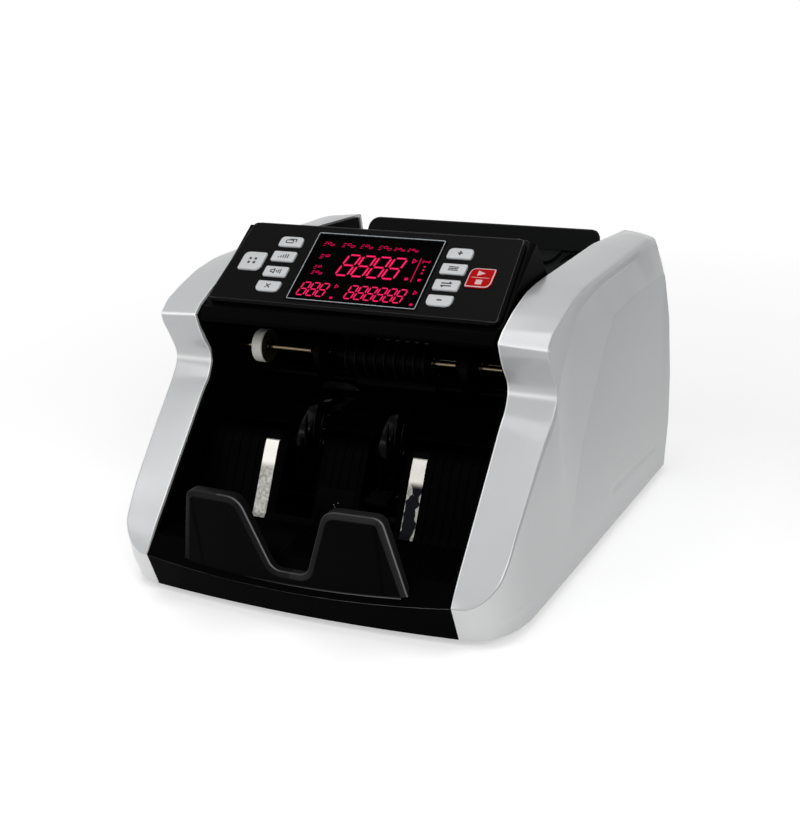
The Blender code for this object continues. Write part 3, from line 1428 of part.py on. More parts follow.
def power_rocker(finish, plane):
    """Rocker with a shallow V face, turning on its middle."""
    half = ROCKER_SIZE[1] / 2
    face = 2 * FIT_GAP + INLET_FLANGE_WALL
    waist = half * ROCKER_WAIST_SHARE
    outline = [(-ROCKER_DEPTH / 2, -waist), (0, -half), (ROCKER_RISE, -half),
               (ROCKER_RISE / 3, 0), (ROCKER_RISE, half), (0, half), (-ROCKER_DEPTH / 2, waist),
               (-ROCKER_DEPTH, 0)]
    form = prism(outline, -ROCKER_SIZE[0] / 2, ROCKER_SIZE[0] / 2)
    made = put("power_rocker", form, finish, (ROCKER_PLACE, face, 0), parent=plane)
    return made


def feet(finish, places):
    """Rubber feet pegged into the base."""
    top = FOOT_HEIGHT - FIT_GAP
    names = ("foot_front_left", "foot_front_right", "foot_rear_left", "foot_rear_right")
    for name, (x, y) in zip(names, places):
        steps = [(0, FOOT_RADIUS - FOOT_TAPER), (top, FOOT_RADIUS), (top, FOOT_PEG_RADIUS),
                 (top + FOOT_PEG_HEIGHT, FOOT_PEG_RADIUS)]
        put(name, turned(steps, SHAFT_SIDES, "Z"), finish, (x, y, 0), smooth=True)


def empty(name, place, tilt):
    made = bpy.data.objects.new(name, None)
    made.location = place
    made.rotation_euler.x = tilt
    bpy.context.scene.collection.objects.link(made)
    return made


def build():
    clear_scene()
    silver = material("silver_plastic", 0xC3C5C5, 0.38, 0.35)
    black = material("black_plastic", 0x141416, 0.45)
    soft_black = material("fascia_plastic", 0x19191B, 0.5)
    plate_black = material("black_steel", 0x0D0D0E, 0.4, 0.5)
    gloss = material("gloss_black", 0x0A0A0B, 0.15)
    steel = material("ground_steel", 0xC9BFA8, 0.25, 1.0)
    bright = material("bright_steel", 0xD8D8D6, 0.2, 1.0)
    rubber = material("rubber", 0x121212, 0.8)
    nylon = material("white_nylon", 0xE8E6DE, 0.4)
    keys = material("key_grey", 0xD9DADC, 0.45)
    red = material("key_red", 0xC80A14, 0.4)
    glass = material("display_glass", 0x050506, 0.1)
    trim = material("bezel_grey", 0x8E9296, 0.35, 0.4)
    board = material("circuit_board", 0x1E5B34, 0.5)
    metal = material("motor_steel", 0x8A8C8F, 0.35, 0.9)
    copper = material("winding", 0x8C4A22, 0.45, 0.3)

    transport, pinch, stacker = yz(TRANSPORT_SHARES), yz(PINCH_SHARES), yz(STACKER_SHARES)
    feed, drive = feed_centre(), yz(MOTOR_SHARES)
    bores = [(transport, TRANSPORT_SHAFT_RADIUS), (pinch, PINCH_SHAFT_RADIUS),
             (stacker, STACKER_SHAFT_RADIUS), (feed, FEED_SHAFT_RADIUS)]
    side_cover("left_side_cover", -1, silver)
    side_cover("right_side_cover", 1, silver)
    side_plate("left_frame_plate", -1, plate_black, bores + [(drive, MOTOR_SHAFT_RADIUS)])
    side_plate("right_frame_plate", 1, plate_black, bores)

    places = [(side * across(FOOT_X_SHARE), along(y)) for y in FOOT_Y_SHARES for side in (-1, 1)]
    base_tray(black, places)
    feet(rubber, places)
    stop_plate(black)
    stacker_tray(black)
    wear_strip("wear_strip_left", -1, bright)
    wear_strip("wear_strip_right", 1, bright)
    pocket_sensor(gloss)
    note_chute(black)

    head = head_housing(black)
    slope = empty("panel_plane", (0, *yz(PANEL_FOOT_SHARES)), PANEL_TILT)
    head_opening(head, slope)
    panel_fascia(soft_black, slope)
    display(slope, glass, trim, gloss, board)
    for name, (x, y), size, radii in key_table():
        finish = red if name == "key_start" else keys
        put(name, key_form(size, radii), finish, (x, y, 0), slope)

    hopper_floor(black)
    hopper_back(soft_black)
    hopper_guide("hopper_guide_left", -1, black)
    hopper_guide("hopper_guide_right", 1, black)
    adjust_knob(black, separator_bridge(black))

    feed_train(steel, rubber)
    transport_train(steel, nylon, rubber, black)
    pinch_shaft(steel)
    stacker_train(steel, gloss)
    bar_y, bar_z = yz(SENSOR_BAR_SHARES)
    low = (-INSIDE, bar_y - SENSOR_BAR_DEPTH / 2, bar_z - SENSOR_BAR_HEIGHT / 2)
    high = (INSIDE, bar_y + SENSOR_BAR_DEPTH / 2, bar_z + SENSOR_BAR_HEIGHT / 2)
    put("sensor_bar", block(low, high), gloss)

    motor(metal, black)
    wheels = [(drive, MOTOR_PULLEY_RADIUS), (feed, FEED_PULLEY_RADIUS),
              (transport, TRANSPORT_PULLEY_RADIUS)]
    belt("drive_belt", -1, wheels, rubber)
    wheels = [(transport, STACKER_DRIVE_RADIUS), (stacker, STACKER_PULLEY_RADIUS)]
    belt("stacker_belt", 1, wheels, rubber)
    transformer(copper)
    main_board(board)

    back = empty("inlet_plane", *inlet_plane())
    rear_cover(black, back)
    power_inlet(black, back)
    power_rocker(gloss, back)


build()
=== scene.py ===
"""Looks of a tabletop banknote counter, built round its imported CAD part.

Metres, +Z up, the front looks along -Y. Sizes below are in millimetres unless their name says otherwise.
"""

import json
import logging
import math
from collections.abc import Callable, Sequence
from dataclasses import dataclass
from enum import Enum

import bmesh
import bpy
import numpy as np
from mathutils import Matrix, Vector


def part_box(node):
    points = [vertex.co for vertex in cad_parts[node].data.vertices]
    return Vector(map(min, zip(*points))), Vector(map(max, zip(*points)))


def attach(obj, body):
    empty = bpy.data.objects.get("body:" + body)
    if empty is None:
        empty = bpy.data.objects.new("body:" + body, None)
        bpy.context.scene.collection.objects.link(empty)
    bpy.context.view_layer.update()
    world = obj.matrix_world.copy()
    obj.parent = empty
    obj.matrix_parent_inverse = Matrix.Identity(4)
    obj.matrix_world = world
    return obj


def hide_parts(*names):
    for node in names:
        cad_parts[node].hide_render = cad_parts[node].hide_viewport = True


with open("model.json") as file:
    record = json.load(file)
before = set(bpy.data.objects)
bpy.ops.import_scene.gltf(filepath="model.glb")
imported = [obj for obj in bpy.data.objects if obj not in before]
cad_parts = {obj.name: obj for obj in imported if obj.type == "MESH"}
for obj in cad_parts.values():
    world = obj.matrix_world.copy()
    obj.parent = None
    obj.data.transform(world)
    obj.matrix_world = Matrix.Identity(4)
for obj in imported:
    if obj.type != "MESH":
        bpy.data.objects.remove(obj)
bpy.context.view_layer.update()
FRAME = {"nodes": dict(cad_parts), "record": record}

MM = 0.001
TURN = 2 * math.pi
BODY_OF = {node: body for body, nodes in FRAME["record"]["behaviour"]["bodies"].items() for node in nodes}
# Half of the gap between the inner faces of the side covers, and half of the whole width over them
THROAT = 95.1
SIDE = 122.4
LOG = logging.getLogger("banknote_counter")


class Slot(Enum):
    """Material slots of the record."""

    SHELL = "silver_shell"
    BODY = "black_body"
    STOP = "stop_plate"
    PLATE = "frame_steel"
    PANEL = "panel_black"
    GLASS = "display_glass"
    BEZEL = "bezel"
    UNIT = "display_unit"
    KEY = "key_grey"
    RED_KEY = "key_red"
    SHAFT = "shaft_steel"
    WEAR = "wear_steel"
    RUBBER = "rubber"
    NYLON = "wheel_nylon"
    GLOSS = "gloss_black"
    DRIVE = "drive_plastic"
    MOTOR = "motor_case"
    CORE = "transformer_core"


# Colours and nodes


def linear(hex_colour: str) -> tuple[float, float, float, float]:
    """Turns a colour written as six hex digits of sRGB into linear light.

    Args:
        hex_colour: Red, green and blue, two digits each.

    Returns:
        Linear red, green and blue, and an alpha of one.
    """
    parts = np.array([int(hex_colour[i:i + 2], 16) for i in (0, 2, 4)]) / 255
    light = np.where(parts <= 0.04045, parts / 12.92, ((parts + 0.055) / 1.055) ** 2.4)
    return (*light.tolist(), 1.0)


def add_node(tree: bpy.types.NodeTree, kind: str, settings: dict | None = None,
             inputs: dict | None = None) -> bpy.types.Node:
    """Adds a node with its settings and links.

    Args:
        tree: Node tree to add to.
        kind: Blender's name of the node type.
        settings: Properties of the node by name.
        inputs: Value, or socket to link from, by input name or number.

    Returns:
        The new node.
    """
    node = tree.nodes.new(kind)
    for key, value in (settings or {}).items():
        setattr(node, key, value)
    for key, value in (inputs or {}).items():
        if isinstance(value, bpy.types.NodeSocket):
            tree.links.new(value, node.inputs[key])
        else:
            node.inputs[key].default_value = value
    return node


def per_metre(size_mm: float) -> float:
    """Scale of a pattern whose features are size_mm wide."""
    return 1000.0 / size_mm


@dataclass(frozen=True)
class Finish:
    """A moulded, ground or painted surface with its grain, cloudiness and sheen.

    The colour is shifted by a soft cloud pattern, the roughness by the same cloud and the grain, and the
    grain stands up as a fine bump. Where the points' painted-light attribute is one, the painted-light colour
    shows: painted highlights, and on the side covers painted light and shade.
    """

    name: str
    colour: str
    roughness: float
    metallic: float = 0.0
    sheen_level: float = 0.5
    coat: float = 0.0
    coat_roughness: float = 0.1
    grain_mm: float = 0.5
    grain_height_mm: float = 0.01
    cloud_mm: float = 18.0
    cloud_share: float = 0.05
    stretch: tuple[float, float, float] = (1.0, 1.0, 1.0)
    glow: float = 0.0
    painted_light: str = ""

    def make(self) -> bpy.types.Material:
        """Builds the material.

        Returns:
            The node-based material.
        """
        made = bpy.data.materials.new(self.name)
        made.use_nodes = True
        tree = made.node_tree
        shader = tree.nodes["Principled BSDF"]
        place = add_node(tree, "ShaderNodeTexCoord").outputs["Object"]
        pulled = add_node(tree, "ShaderNodeMapping", inputs={"Vector": place, "Scale": self.stretch})
        grain = add_node(tree, "ShaderNodeTexNoise",
                         inputs={"Vector": pulled.outputs[0], "Scale": per_metre(self.grain_mm),
                                 "Detail": 3.0, "Roughness": 0.6})
        cloud = add_node(tree, "ShaderNodeTexNoise",
                         inputs={"Vector": pulled.outputs[0], "Scale": per_metre(self.cloud_mm),
                                 "Detail": 2.0})
        both = add_node(tree, "ShaderNodeMath", {"operation": "ADD"},
                        {0: grain.outputs["Fac"], 1: cloud.outputs["Fac"]})
        base = linear(self.colour)
        dark = tuple(c * (1 - self.cloud_share) for c in base[:3]) + (1.0,)
        pale = tuple(min(1.0, c * (1 + self.cloud_share)) for c in base[:3]) + (1.0,)
        tone = add_node(tree, "ShaderNodeMapRange", inputs={"Value": both.outputs[0], "From Min": 0.7,
                                                            "From Max": 1.3})
        colour = add_node(tree, "ShaderNodeMix", {"data_type": "RGBA"},
                          {"Factor": tone.outputs[0], "A": dark, "B": pale})
        # Painted light: an attribute of the points mixes in a paler colour for painted highlights and painted shade
        if self.painted_light:
            painted_share = add_node(tree, "ShaderNodeAttribute", {"attribute_name": "painted_light"})
            colour = add_node(tree, "ShaderNodeMix", {"data_type": "RGBA"},
                              {"Factor": painted_share.outputs["Fac"], "A": colour.outputs["Result"],
                               "B": linear(self.painted_light)})
        gloss = add_node(tree, "ShaderNodeMapRange",
                         inputs={"Value": both.outputs[0], "From Min": 0.7, "From Max": 1.3,
                                 "To Min": self.roughness * 0.92, "To Max": min(1.0, self.roughness * 1.08)})
        relief = add_node(tree, "ShaderNodeBump",
                          inputs={"Height": grain.outputs["Fac"], "Strength": 1.0,
                                  "Distance": self.grain_height_mm * MM})
        tree.links.new(colour.outputs["Result"], shader.inputs["Emission Color" if self.glow else "Base Color"])
        tree.links.new(gloss.outputs[0], shader.inputs["Roughness"])
        tree.links.new(relief.outputs[0], shader.inputs["Normal"])
        shader.inputs["Metallic"].default_value = self.metallic
        if self.metallic < 1:
            shader.inputs["Specular IOR Level"].default_value = self.sheen_level
        shader.inputs["Coat Weight"].default_value = self.coat
        shader.inputs["Coat Roughness"].default_value = self.coat_roughness
        if self.glow:
            shader.inputs["Base Color"].default_value = linear("100103")
            shader.inputs["Emission Strength"].default_value = self.glow
        return made


@dataclass(frozen=True)
class WornStrip:
    """Stainless strip with a face mottled by wear, of which a dark film may still cover the lower part.

    The film ends on a line at a height of edge_z, and near the two long edges it has flaked off where a
    coarse noise is high. Over the rolled edge, above top_z, each strip is black.
    """

    name: str
    film: float
    centre_x: float = 47.5
    half: float = 4.4
    edge_z: float = 66.0
    top_z: float = 78.2

    def make(self) -> bpy.types.Material:
        """Builds the material.

        Returns:
            The node-based material.
        """
        made = bpy.data.materials.new(self.name)
        made.use_nodes = True
        tree = made.node_tree
        shader = tree.nodes["Principled BSDF"]
        place = add_node(tree, "ShaderNodeTexCoord").outputs["Object"]
        wear = add_node(tree, "ShaderNodeTexNoise", inputs={"Vector": place, "Scale": per_metre(4.5),
                                                            "Detail": 4.0, "Distortion": 2.6})
        flakes = add_node(tree, "ShaderNodeTexNoise", inputs={"Vector": place, "Scale": per_metre(11), "Detail": 2.0})
        axes = add_node(tree, "ShaderNodeSeparateXYZ", inputs={"Vector": place})
        mottle = add_node(tree, "ShaderNodeMapRange", inputs={"Value": wear.outputs["Fac"], "From Min": 0.35,
                                                              "From Max": 0.65})
        high = add_node(tree, "ShaderNodeMapRange", {"interpolation_type": "SMOOTHSTEP"},
                        {"Value": axes.outputs["Z"], "From Min": (self.edge_z - 2.5) * MM,
                         "From Max": (self.edge_z + 1.5) * MM})
        steel = add_node(tree, "ShaderNodeMix", {"data_type": "RGBA"},
                         {"Factor": mottle.outputs[0], "A": linear("5C5B58"), "B": linear("7E7D79")})
        bright = add_node(tree, "ShaderNodeMix", {"data_type": "RGBA"},
                          {"Factor": high.outputs[0], "A": steel.outputs["Result"], "B": linear("A5A39E")})
        aside = add_node(tree, "ShaderNodeMath", {"operation": "SUBTRACT"},
                         {0: axes.outputs["X"], 1: self.centre_x * MM})
        out = add_node(tree, "ShaderNodeMath", {"operation": "ABSOLUTE"}, {0: aside.outputs[0]})
        near_edge = add_node(tree, "ShaderNodeMapRange", inputs={"Value": out.outputs[0],
                                                                 "From Min": self.half * 0.2 * MM,
                                                                 "From Max": self.half * MM, "To Max": 0.3})
        flaked = add_node(tree, "ShaderNodeMath", {"operation": "ADD"},
                          {0: flakes.outputs["Fac"], 1: near_edge.outputs[0]})
        open_part = add_node(tree, "ShaderNodeMapRange", {"interpolation_type": "SMOOTHSTEP"},
                             {"Value": flaked.outputs[0], "From Min": 0.74, "From Max": 0.78})
        bare = add_node(tree, "ShaderNodeMath", {"operation": "MAXIMUM"},
                        {0: open_part.outputs[0], 1: high.outputs[0]})
        film = add_node(tree, "ShaderNodeMapRange", inputs={"Value": bare.outputs[0], "To Min": self.film,
                                                            "To Max": 0.0})
        above = add_node(tree, "ShaderNodeMath", {"operation": "GREATER_THAN"},
                         {0: axes.outputs["Z"], 1: self.top_z * MM})
        film = add_node(tree, "ShaderNodeMath", {"operation": "MAXIMUM"}, {0: film.outputs[0], 1: above.outputs[0]})
        colour = add_node(tree, "ShaderNodeMix", {"data_type": "RGBA"},
                          {"Factor": film.outputs[0], "A": bright.outputs["Result"], "B": linear("0B0C0E")})
        relief = add_node(tree, "ShaderNodeBump", inputs={"Height": wear.outputs["Fac"], "Strength": 1.0,
                                                          "Distance": 0.03 * MM})
        tree.links.new(colour.outputs["Result"], shader.inputs["Base Color"])
        tree.links.new(relief.outputs[0], shader.inputs["Normal"])
        shader.inputs["Metallic"].default_value = 1.0
        shader.inputs["Roughness"].default_value = 0.3
        return made


class Finishes:
    """All finishes of the machine, made once."""

    def __init__(self) -> None:
        """Makes each material from what the real surface is; some also carry painted light, as their comments say."""
        # Silver-pigmented ABS, satin moulded: soft wide highlights and a very fine metallic speckle.
        # Its painted-light colour, white, paints highlights and light and shade on the side covers.
        self.silver = Finish("satin_silver_abs", "B5B7B9", 0.3, metallic=0.22, sheen_level=0.4, grain_mm=0.35,
                             grain_height_mm=0.004, cloud_mm=40, cloud_share=0.025, painted_light="FFFFFF").make()
        # Black ABS from a spark-eroded mould: deep matt black whose edges alone catch light.
        self.black = Finish("grained_black_abs", "020203", 0.45, sheen_level=0.008, grain_mm=0.4,
                            grain_height_mm=0.012, cloud_share=0.12).make()
        # The same moulding compound, smoother: the stop plate.
        # Its painted-light colour, a pale grey, paints highlights along the plate's edges and along the skirt's fold.
        self.stop = Finish("smooth_black_abs", "030304", 0.34, sheen_level=0.018, grain_mm=0.5,
                           grain_height_mm=0.006, cloud_share=0.1, painted_light="A0A0A3").make()
        # Panel moulding, satin and a little warm.
        self.panel = Finish("satin_black_panel_abs", "040303", 0.36, sheen_level=0.033, grain_mm=0.45,
                            grain_height_mm=0.006, cloud_mm=30, cloud_share=0.12).make()
        # A lighter black for the panel's edge ring: a painted highlight.
        self.edge = Finish("painted_highlight_panel_edge", "2C2B2C", 0.3, sheen_level=0.2, grain_height_mm=0.002).make()
        # Powder coated steel: fine orange peel.
        self.plate = Finish("black_powder_coat", "020202", 0.5, sheen_level=0.01, grain_mm=0.8,
                            grain_height_mm=0.02, cloud_share=0.1).make()
        # Cast acrylic window over a black mask: a mirror-smooth face.
        self.window = Finish("black_acrylic_window", "010101", 0.08, sheen_level=0.006, grain_mm=6,
                             grain_height_mm=0.0005, cloud_share=0.2).make()
        self.bezel = Finish("grey_window_frame_paint", "B4BCC2", 0.45, grain_height_mm=0.003).make()
        # Lit figures of a vacuum fluorescent display behind a red filter.
        self.lit = Finish("lit_red_segment", "FF0E5C", 0.5, sheen_level=0.0, grain_mm=1.6, grain_height_mm=0.0,
                          cloud_mm=3.5, cloud_share=0.12, glow=0.95).make()
        self.lit_core = Finish("hot_segment_core", "FF4A74", 0.5, sheen_level=0.0, grain_mm=1.6, grain_height_mm=0.0,
                               cloud_mm=3.5, cloud_share=0.12, glow=0.98).make()
        self.unit = Finish("display_module_black_case", "0B0B0C", 0.5).make()
        # Light grey satin ABS keys.
        self.key = Finish("light_grey_key_abs", "DADCDE", 0.42, sheen_level=0.4, grain_height_mm=0.003,
                          cloud_share=0.02).make()
        self.red_key = Finish("red_key_abs", "BC0306", 0.42, sheen_level=0.05, grain_height_mm=0.003,
                              cloud_share=0.05).make()
        self.key_print = Finish("dark_key_print", "0C0D0E", 0.6, grain_height_mm=0.001).make()
        self.pale_print = Finish("pale_key_print", "E8BDBF", 0.6, grain_height_mm=0.001).make()
        # Ground shaft steel: rings left by the grinding wheel.
        # Darker than bare steel: painted shade for the dark inside of the machine that the shafts reflect.
        self.shaft = Finish("ground_shaft_steel", "52483A", 0.15, metallic=1.0, grain_mm=0.4,
                            grain_height_mm=0.004, cloud_share=0.06, stretch=(1.0, 0.1, 0.1)).make()
        # Bright stainless strip: mottled where its film is worn, nearly black where the film still covers it.
        self.strip_left = WornStrip("worn_stainless_strip", 0.0).make()
        self.strip_right = WornStrip("film_covered_stainless_strip", 1.0).make()
        # Hopper moulding, a shade lighter than the tray.
        self.hopper = Finish("lighter_black_abs", "08090A", 0.5, sheen_level=0.04, grain_mm=0.5, grain_height_mm=0.01,
                             cloud_mm=12, cloud_share=0.2).make()
        self.head = Finish("deep_black_abs", "020202", 0.4, sheen_level=0.012, grain_mm=0.5,
                           grain_height_mm=0.006).make()
        self.disc = Finish("dull_black_acetal", "010101", 0.35, sheen_level=0.01, grain_height_mm=0.003).make()
        # Dark olive over the idler's right face: painted shade.
        self.idler_face_shade = Finish("olive_painted_shade", "2C2716", 0.5, metallic=0.4, grain_mm=0.3,
                              grain_height_mm=0.01).make()
        self.lens = Finish("blue_coated_lens", "26264E", 0.1, sheen_level=0.6, grain_height_mm=0.0005).make()
        self.rubber = Finish("black_nitrile_rubber", "040404", 0.6, sheen_level=0.03, grain_mm=0.3,
                             grain_height_mm=0.02).make()
        self.nylon = Finish("white_nylon", "F0EFE8", 0.5, sheen_level=0.4, grain_height_mm=0.004,
                            cloud_share=0.03).make()
        self.gloss = Finish("gloss_black_acetal", "020203", 0.14, sheen_level=0.04, grain_mm=3,
                            grain_height_mm=0.002).make()
        self.drive = Finish("black_acetal_pulley", "111112", 0.5, sheen_level=0.3).make()
        self.belt = Finish("neoprene_belt", "0C0C0D", 0.7, sheen_level=0.2, grain_mm=0.3).make()
        self.motor = Finish("zinc_plated_motor_case", "B5B7B6", 0.32, metallic=1.0, grain_mm=0.5,
                            grain_height_mm=0.004, cloud_mm=8, cloud_share=0.12).make()
        self.core = Finish("varnished_core_steel", "4A4238", 0.5, metallic=0.6, grain_mm=0.5,
                           grain_height_mm=0.05, stretch=(1.0, 1.0, 6.0)).make()
        self.board = Finish("green_solder_mask", "0E2416", 0.35, sheen_level=0.3, coat=0.1, grain_mm=1.4,
                            grain_height_mm=0.01, cloud_mm=5, cloud_share=0.25).make()


# Meshes


def grid_faces(rows: int, columns: int, wrap_rows: bool = False, wrap_columns: bool = False) -> np.ndarray:
    """Corner numbers of the quads between neighbouring points of a grid.

    Args:
        rows: Number of rows.
        columns: Number of columns.
        wrap_rows: Join the last row to the first.
        wrap_columns: Join the last column to the first.

    Returns:
        One row of four corner numbers per quad.
    """
    index = np.arange(rows * columns).reshape(rows, columns)
    if wrap_rows:
        index = np.vstack([index, index[:1]])
    if wrap_columns:
        index = np.hstack([index, index[:, :1]])
    corners = (index[:-1, :-1], index[1:, :-1], index[1:, 1:], index[:-1, 1:])
    return np.stack([c.ravel() for c in corners], axis=1)


def make_object(name: str, points: np.ndarray, faces: list, tidy: bool = True,
                sharp_deg: float = 35.0) -> bpy.types.Object:
    """Puts points and faces into a new mesh object.

    Args:
        name: Name of the object.
        points: Points in millimetres, three numbers each.
        faces: Corner numbers of each face.
        tidy: Merge doubles and turn the faces of a closed skin outwards.
        sharp_deg: Edges with a greater angle than this stay sharp.

    Returns:
        The object, linked to the scene.
    """
    mesh = bpy.data.meshes.new(name)
    mesh.from_pydata((points.reshape(-1, 3) * MM).tolist(), [], faces)
    if tidy:
        form = bmesh.new()
        form.from_mesh(mesh)
        bmesh.ops.remove_doubles(form, verts=form.verts, dist=1e-6)
        bmesh.ops.recalc_face_normals(form, faces=form.faces)
        form.to_mesh(mesh)
        form.free()
    mesh.shade_smooth()
    mesh.set_sharp_from_angle(angle=math.radians(sharp_deg))
    made = bpy.data.objects.new(name, mesh)
    bpy.context.scene.collection.objects.link(made)
    return made


def surface(name: str, points: np.ndarray, wrap_rows: bool = False, wrap_columns: bool = False,
            cap: bool = False, tidy: bool = True, sharp_deg: float = 35.0) -> bpy.types.Object:
    """Mesh through a grid of points.

    Args:
        name: Name of the object.
        points: Grid of points, rows by columns by three, in millimetres.
        wrap_rows: Join the last row to the first.
        wrap_columns: Join the last column to the first.
        cap: Close the first and last row, which are rings, with a face each.
        tidy: As make_object says.
        sharp_deg: As make_object says.

    Returns:
        The object.
    """
    rows, columns = points.shape[:2]
    faces = grid_faces(rows, columns, wrap_rows, wrap_columns).tolist()
    if cap:
        faces += [list(range(columns)), list(range((rows - 1) * columns, rows * columns))]
    return make_object(name, points, faces, tidy, sharp_deg)


def soft_corners(path: np.ndarray, radius: float | np.ndarray, steps: int = 6, closed: bool = False) -> np.ndarray:
    """Path with every corner rounded.

    Each corner is pulled back by the radius, or 0.45 of a shorter side, along both sides, and a quadratic
    curve (1-u)^2 a + 2u(1-u) corner + u^2 b joins the two points.

    Args:
        path: Corners, one row each.
        radius: How far each corner is pulled back, one number or one per corner.
        steps: Points on each curve.
        closed: The path is a loop.

    Returns:
        The rounded path.
    """
    before, after = np.roll(path, 1, axis=0) - path, np.roll(path, -1, axis=0) - path
    long_before = np.linalg.norm(before, axis=1, keepdims=True)
    long_after = np.linalg.norm(after, axis=1, keepdims=True)
    radii = np.broadcast_to(np.reshape(radius, (-1, 1)), (len(path), 1)) * 1.0
    pull = np.minimum(radii, 0.45 * np.minimum(long_before, long_after))
    start = path + before / np.maximum(long_before, 1e-9) * pull
    end = path + after / np.maximum(long_after, 1e-9) * pull
    u = np.linspace(0, 1, steps)[None, :, None]
    curve = (1 - u) ** 2 * start[:, None] + 2 * u * (1 - u) * path[:, None] + u ** 2 * end[:, None]
    if closed:
        return curve.reshape(-1, path.shape[1])
    return np.vstack([path[:1], curve[1:-1].reshape(-1, path.shape[1]), path[-1:]])


def lathe(name: str, profile: np.ndarray, centre: Sequence[float], axis: str = "X", closed: bool = False,
          segments: int = 96) -> bpy.types.Object:
    """Profile carried once round an axis.

    Each profile point (place a, radius r) becomes the ring (a, r cos t, r sin t) for t round the circle.

    Args:
        name: Name of the object.
        profile: Place along the axis and radius, one row per point, in millimetres.
        centre: The axis origin, in millimetres.
        axis: X, Y or Z.
        closed: The profile is a loop, as on a ring with a bore.
        segments: Points round the circle.

    Returns:
        The object.
    """
    angle = np.linspace(0, TURN, segments, endpoint=False)
    place, radius = profile[:, :1], profile[:, 1:2]
    along = np.broadcast_to(place, (len(profile), segments))
    order = {"X": (0, 1, 2), "Y": (2, 0, 1), "Z": (1, 2, 0)}[axis]
    parts = (along, radius * np.cos(angle), radius * np.sin(angle))
    points = np.stack([parts[i] for i in order], axis=2) + np.array(centre)
    return surface(name, points, wrap_rows=closed, wrap_columns=True)


def inset(outline: np.ndarray, depth: float) -> np.ndarray:
    """Closed outline moved inwards by a depth, each corner along its mitre.

    Args:
        outline: Corners in anticlockwise order.
        depth: How far, in millimetres. Below zero moves it outwards.

    Returns:
        The moved outline.
    """
    side = np.roll(outline, -1, axis=0) - outline
    side = side / np.maximum(np.linalg.norm(side, axis=1, keepdims=True), 1e-9)
    out = np.stack([side[:, 1], -side[:, 0]], axis=1)
    previous = np.roll(out, 1, axis=0)
    dot = np.sum(out * previous, axis=1, keepdims=True)
    return outline - depth * (out + previous) / np.maximum(1 + dot, 0.2)


def rounded_box(width: float, length: float, radii: Sequence[float], centre: Sequence[float] = (0, 0),
                steps: int = 8) -> np.ndarray:
    """Outline of a rectangle with its own radius at each corner.

    Args:
        width: Size across.
        length: Size along.
        radii: Radius of each corner, from the lower left anticlockwise.
        centre: Middle of the rectangle.
        steps: Points on each corner.

    Returns:
        The outline, anticlockwise.
    """
    x, y = width / 2, length / 2
    corners = np.array([(-x, -y), (x, -y), (x, y), (-x, y)])
    return soft_corners(corners, np.array(radii), steps, closed=True) + np.array(centre)


def slab(name: str, outline: np.ndarray, levels: Sequence[tuple[float, float]],
         place: Callable[[np.ndarray], np.ndarray], frame: bool = False) -> bpy.types.Object:
    """Plate or frame made of an outline carried through levels.

    Args:
        name: Name of the object.
        outline: Closed outline, anticlockwise, in millimetres.
        levels: Inset and height of each ring, from the bottom to the top.
        place: Turns points of the plate's own axes into the machine's.
        frame: The last level runs on to the first, where a plate is closed with a face at both.

    Returns:
        The object.
    """
    rings = [np.column_stack([inset(outline, depth), np.full(len(outline), height)]) for depth, height in levels]
    return surface(name, place(np.stack(rings)), wrap_rows=frame, wrap_columns=True, cap=not frame)


def strokes(name: str, lines: np.ndarray, low: float, high: float, place: Callable[[np.ndarray], np.ndarray],
            pointed: bool = False) -> bpy.types.Object:
    """Raised marks, each a bar along a line with square or pointed ends.

    Args:
        name: Name of the object.
        lines: Start x and y, end x and y, and width of each bar, in millimetres.
        low: Height of their underside.
        high: Height of their face.
        place: As slab says.
        pointed: Ends taper to a point, as display segments do.

    Returns:
        The object, all bars in one mesh.
    """
    start, end, width = lines[:, :2], lines[:, 2:4], lines[:, 4:5]
    along = end - start
    length = np.linalg.norm(along, axis=1, keepdims=True)
    along = along / np.maximum(length, 1e-9)
    across = np.stack([-along[:, 1], along[:, 0]], axis=1)
    forward = np.array([0, 0.5, -0.5, 0, -0.5, 0.5]) * float(pointed)
    at_end = np.array([0, 0, 1, 1, 1, 0])
    aside = np.array([0, -0.5, -0.5, 0, 0.5, 0.5])
    spots = (start[:, None] + at_end[None, :, None] * (end - start)[:, None]
             + forward[None, :, None] * width[:, None] * along[:, None]
             + aside[None, :, None] * width[:, None] * across[:, None])
    count = len(lines)
    flat = [np.dstack([spots, np.full((count, 6), h)]) for h in (low, high)]
    points = np.stack(flat, axis=1)
    ring = np.arange(6)
    near = np.roll(ring, -1)
    sides = np.stack([ring, near, near + 6, ring + 6], axis=1)
    faces = []
    for offset in np.arange(count) * 12:
        faces += (sides + offset).tolist() + [(ring[::-1] + offset).tolist(), (ring + 6 + offset).tolist()]
    return make_object(name, place(points), faces, tidy=False)


def store_painted_light(made: bpy.types.Object, amount: np.ndarray) -> None:
    """Stores how much painted light each point of an untidied grid gets.

    Args:
        made: The piece.
        amount: Share from nought to one for each point.
    """
    layer = made.data.attributes.new("painted_light", "FLOAT", "POINT")
    layer.data.foreach_set("value", np.ascontiguousarray(amount.ravel(), dtype=np.float32))


def dress(made: bpy.types.Object, finish: bpy.types.Material, slot: Slot, body: str,
          *replaced: str) -> bpy.types.Object:
    """Gives a piece its material and body, and hides the CAD nodes that it replaces.

    Args:
        made: The piece.
        finish: Its material.
        slot: Not used.
        body: CAD body it moves with.
        replaced: CAD nodes that it replaces.

    Returns:
        The piece.
    """
    made.data.materials.clear()
    made.data.materials.append(finish)
    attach(made, body)
    if replaced:
        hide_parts(*replaced)
    LOG.info("%s on %s, %d faces", made.name, body, len(made.data.polygons))
    return made


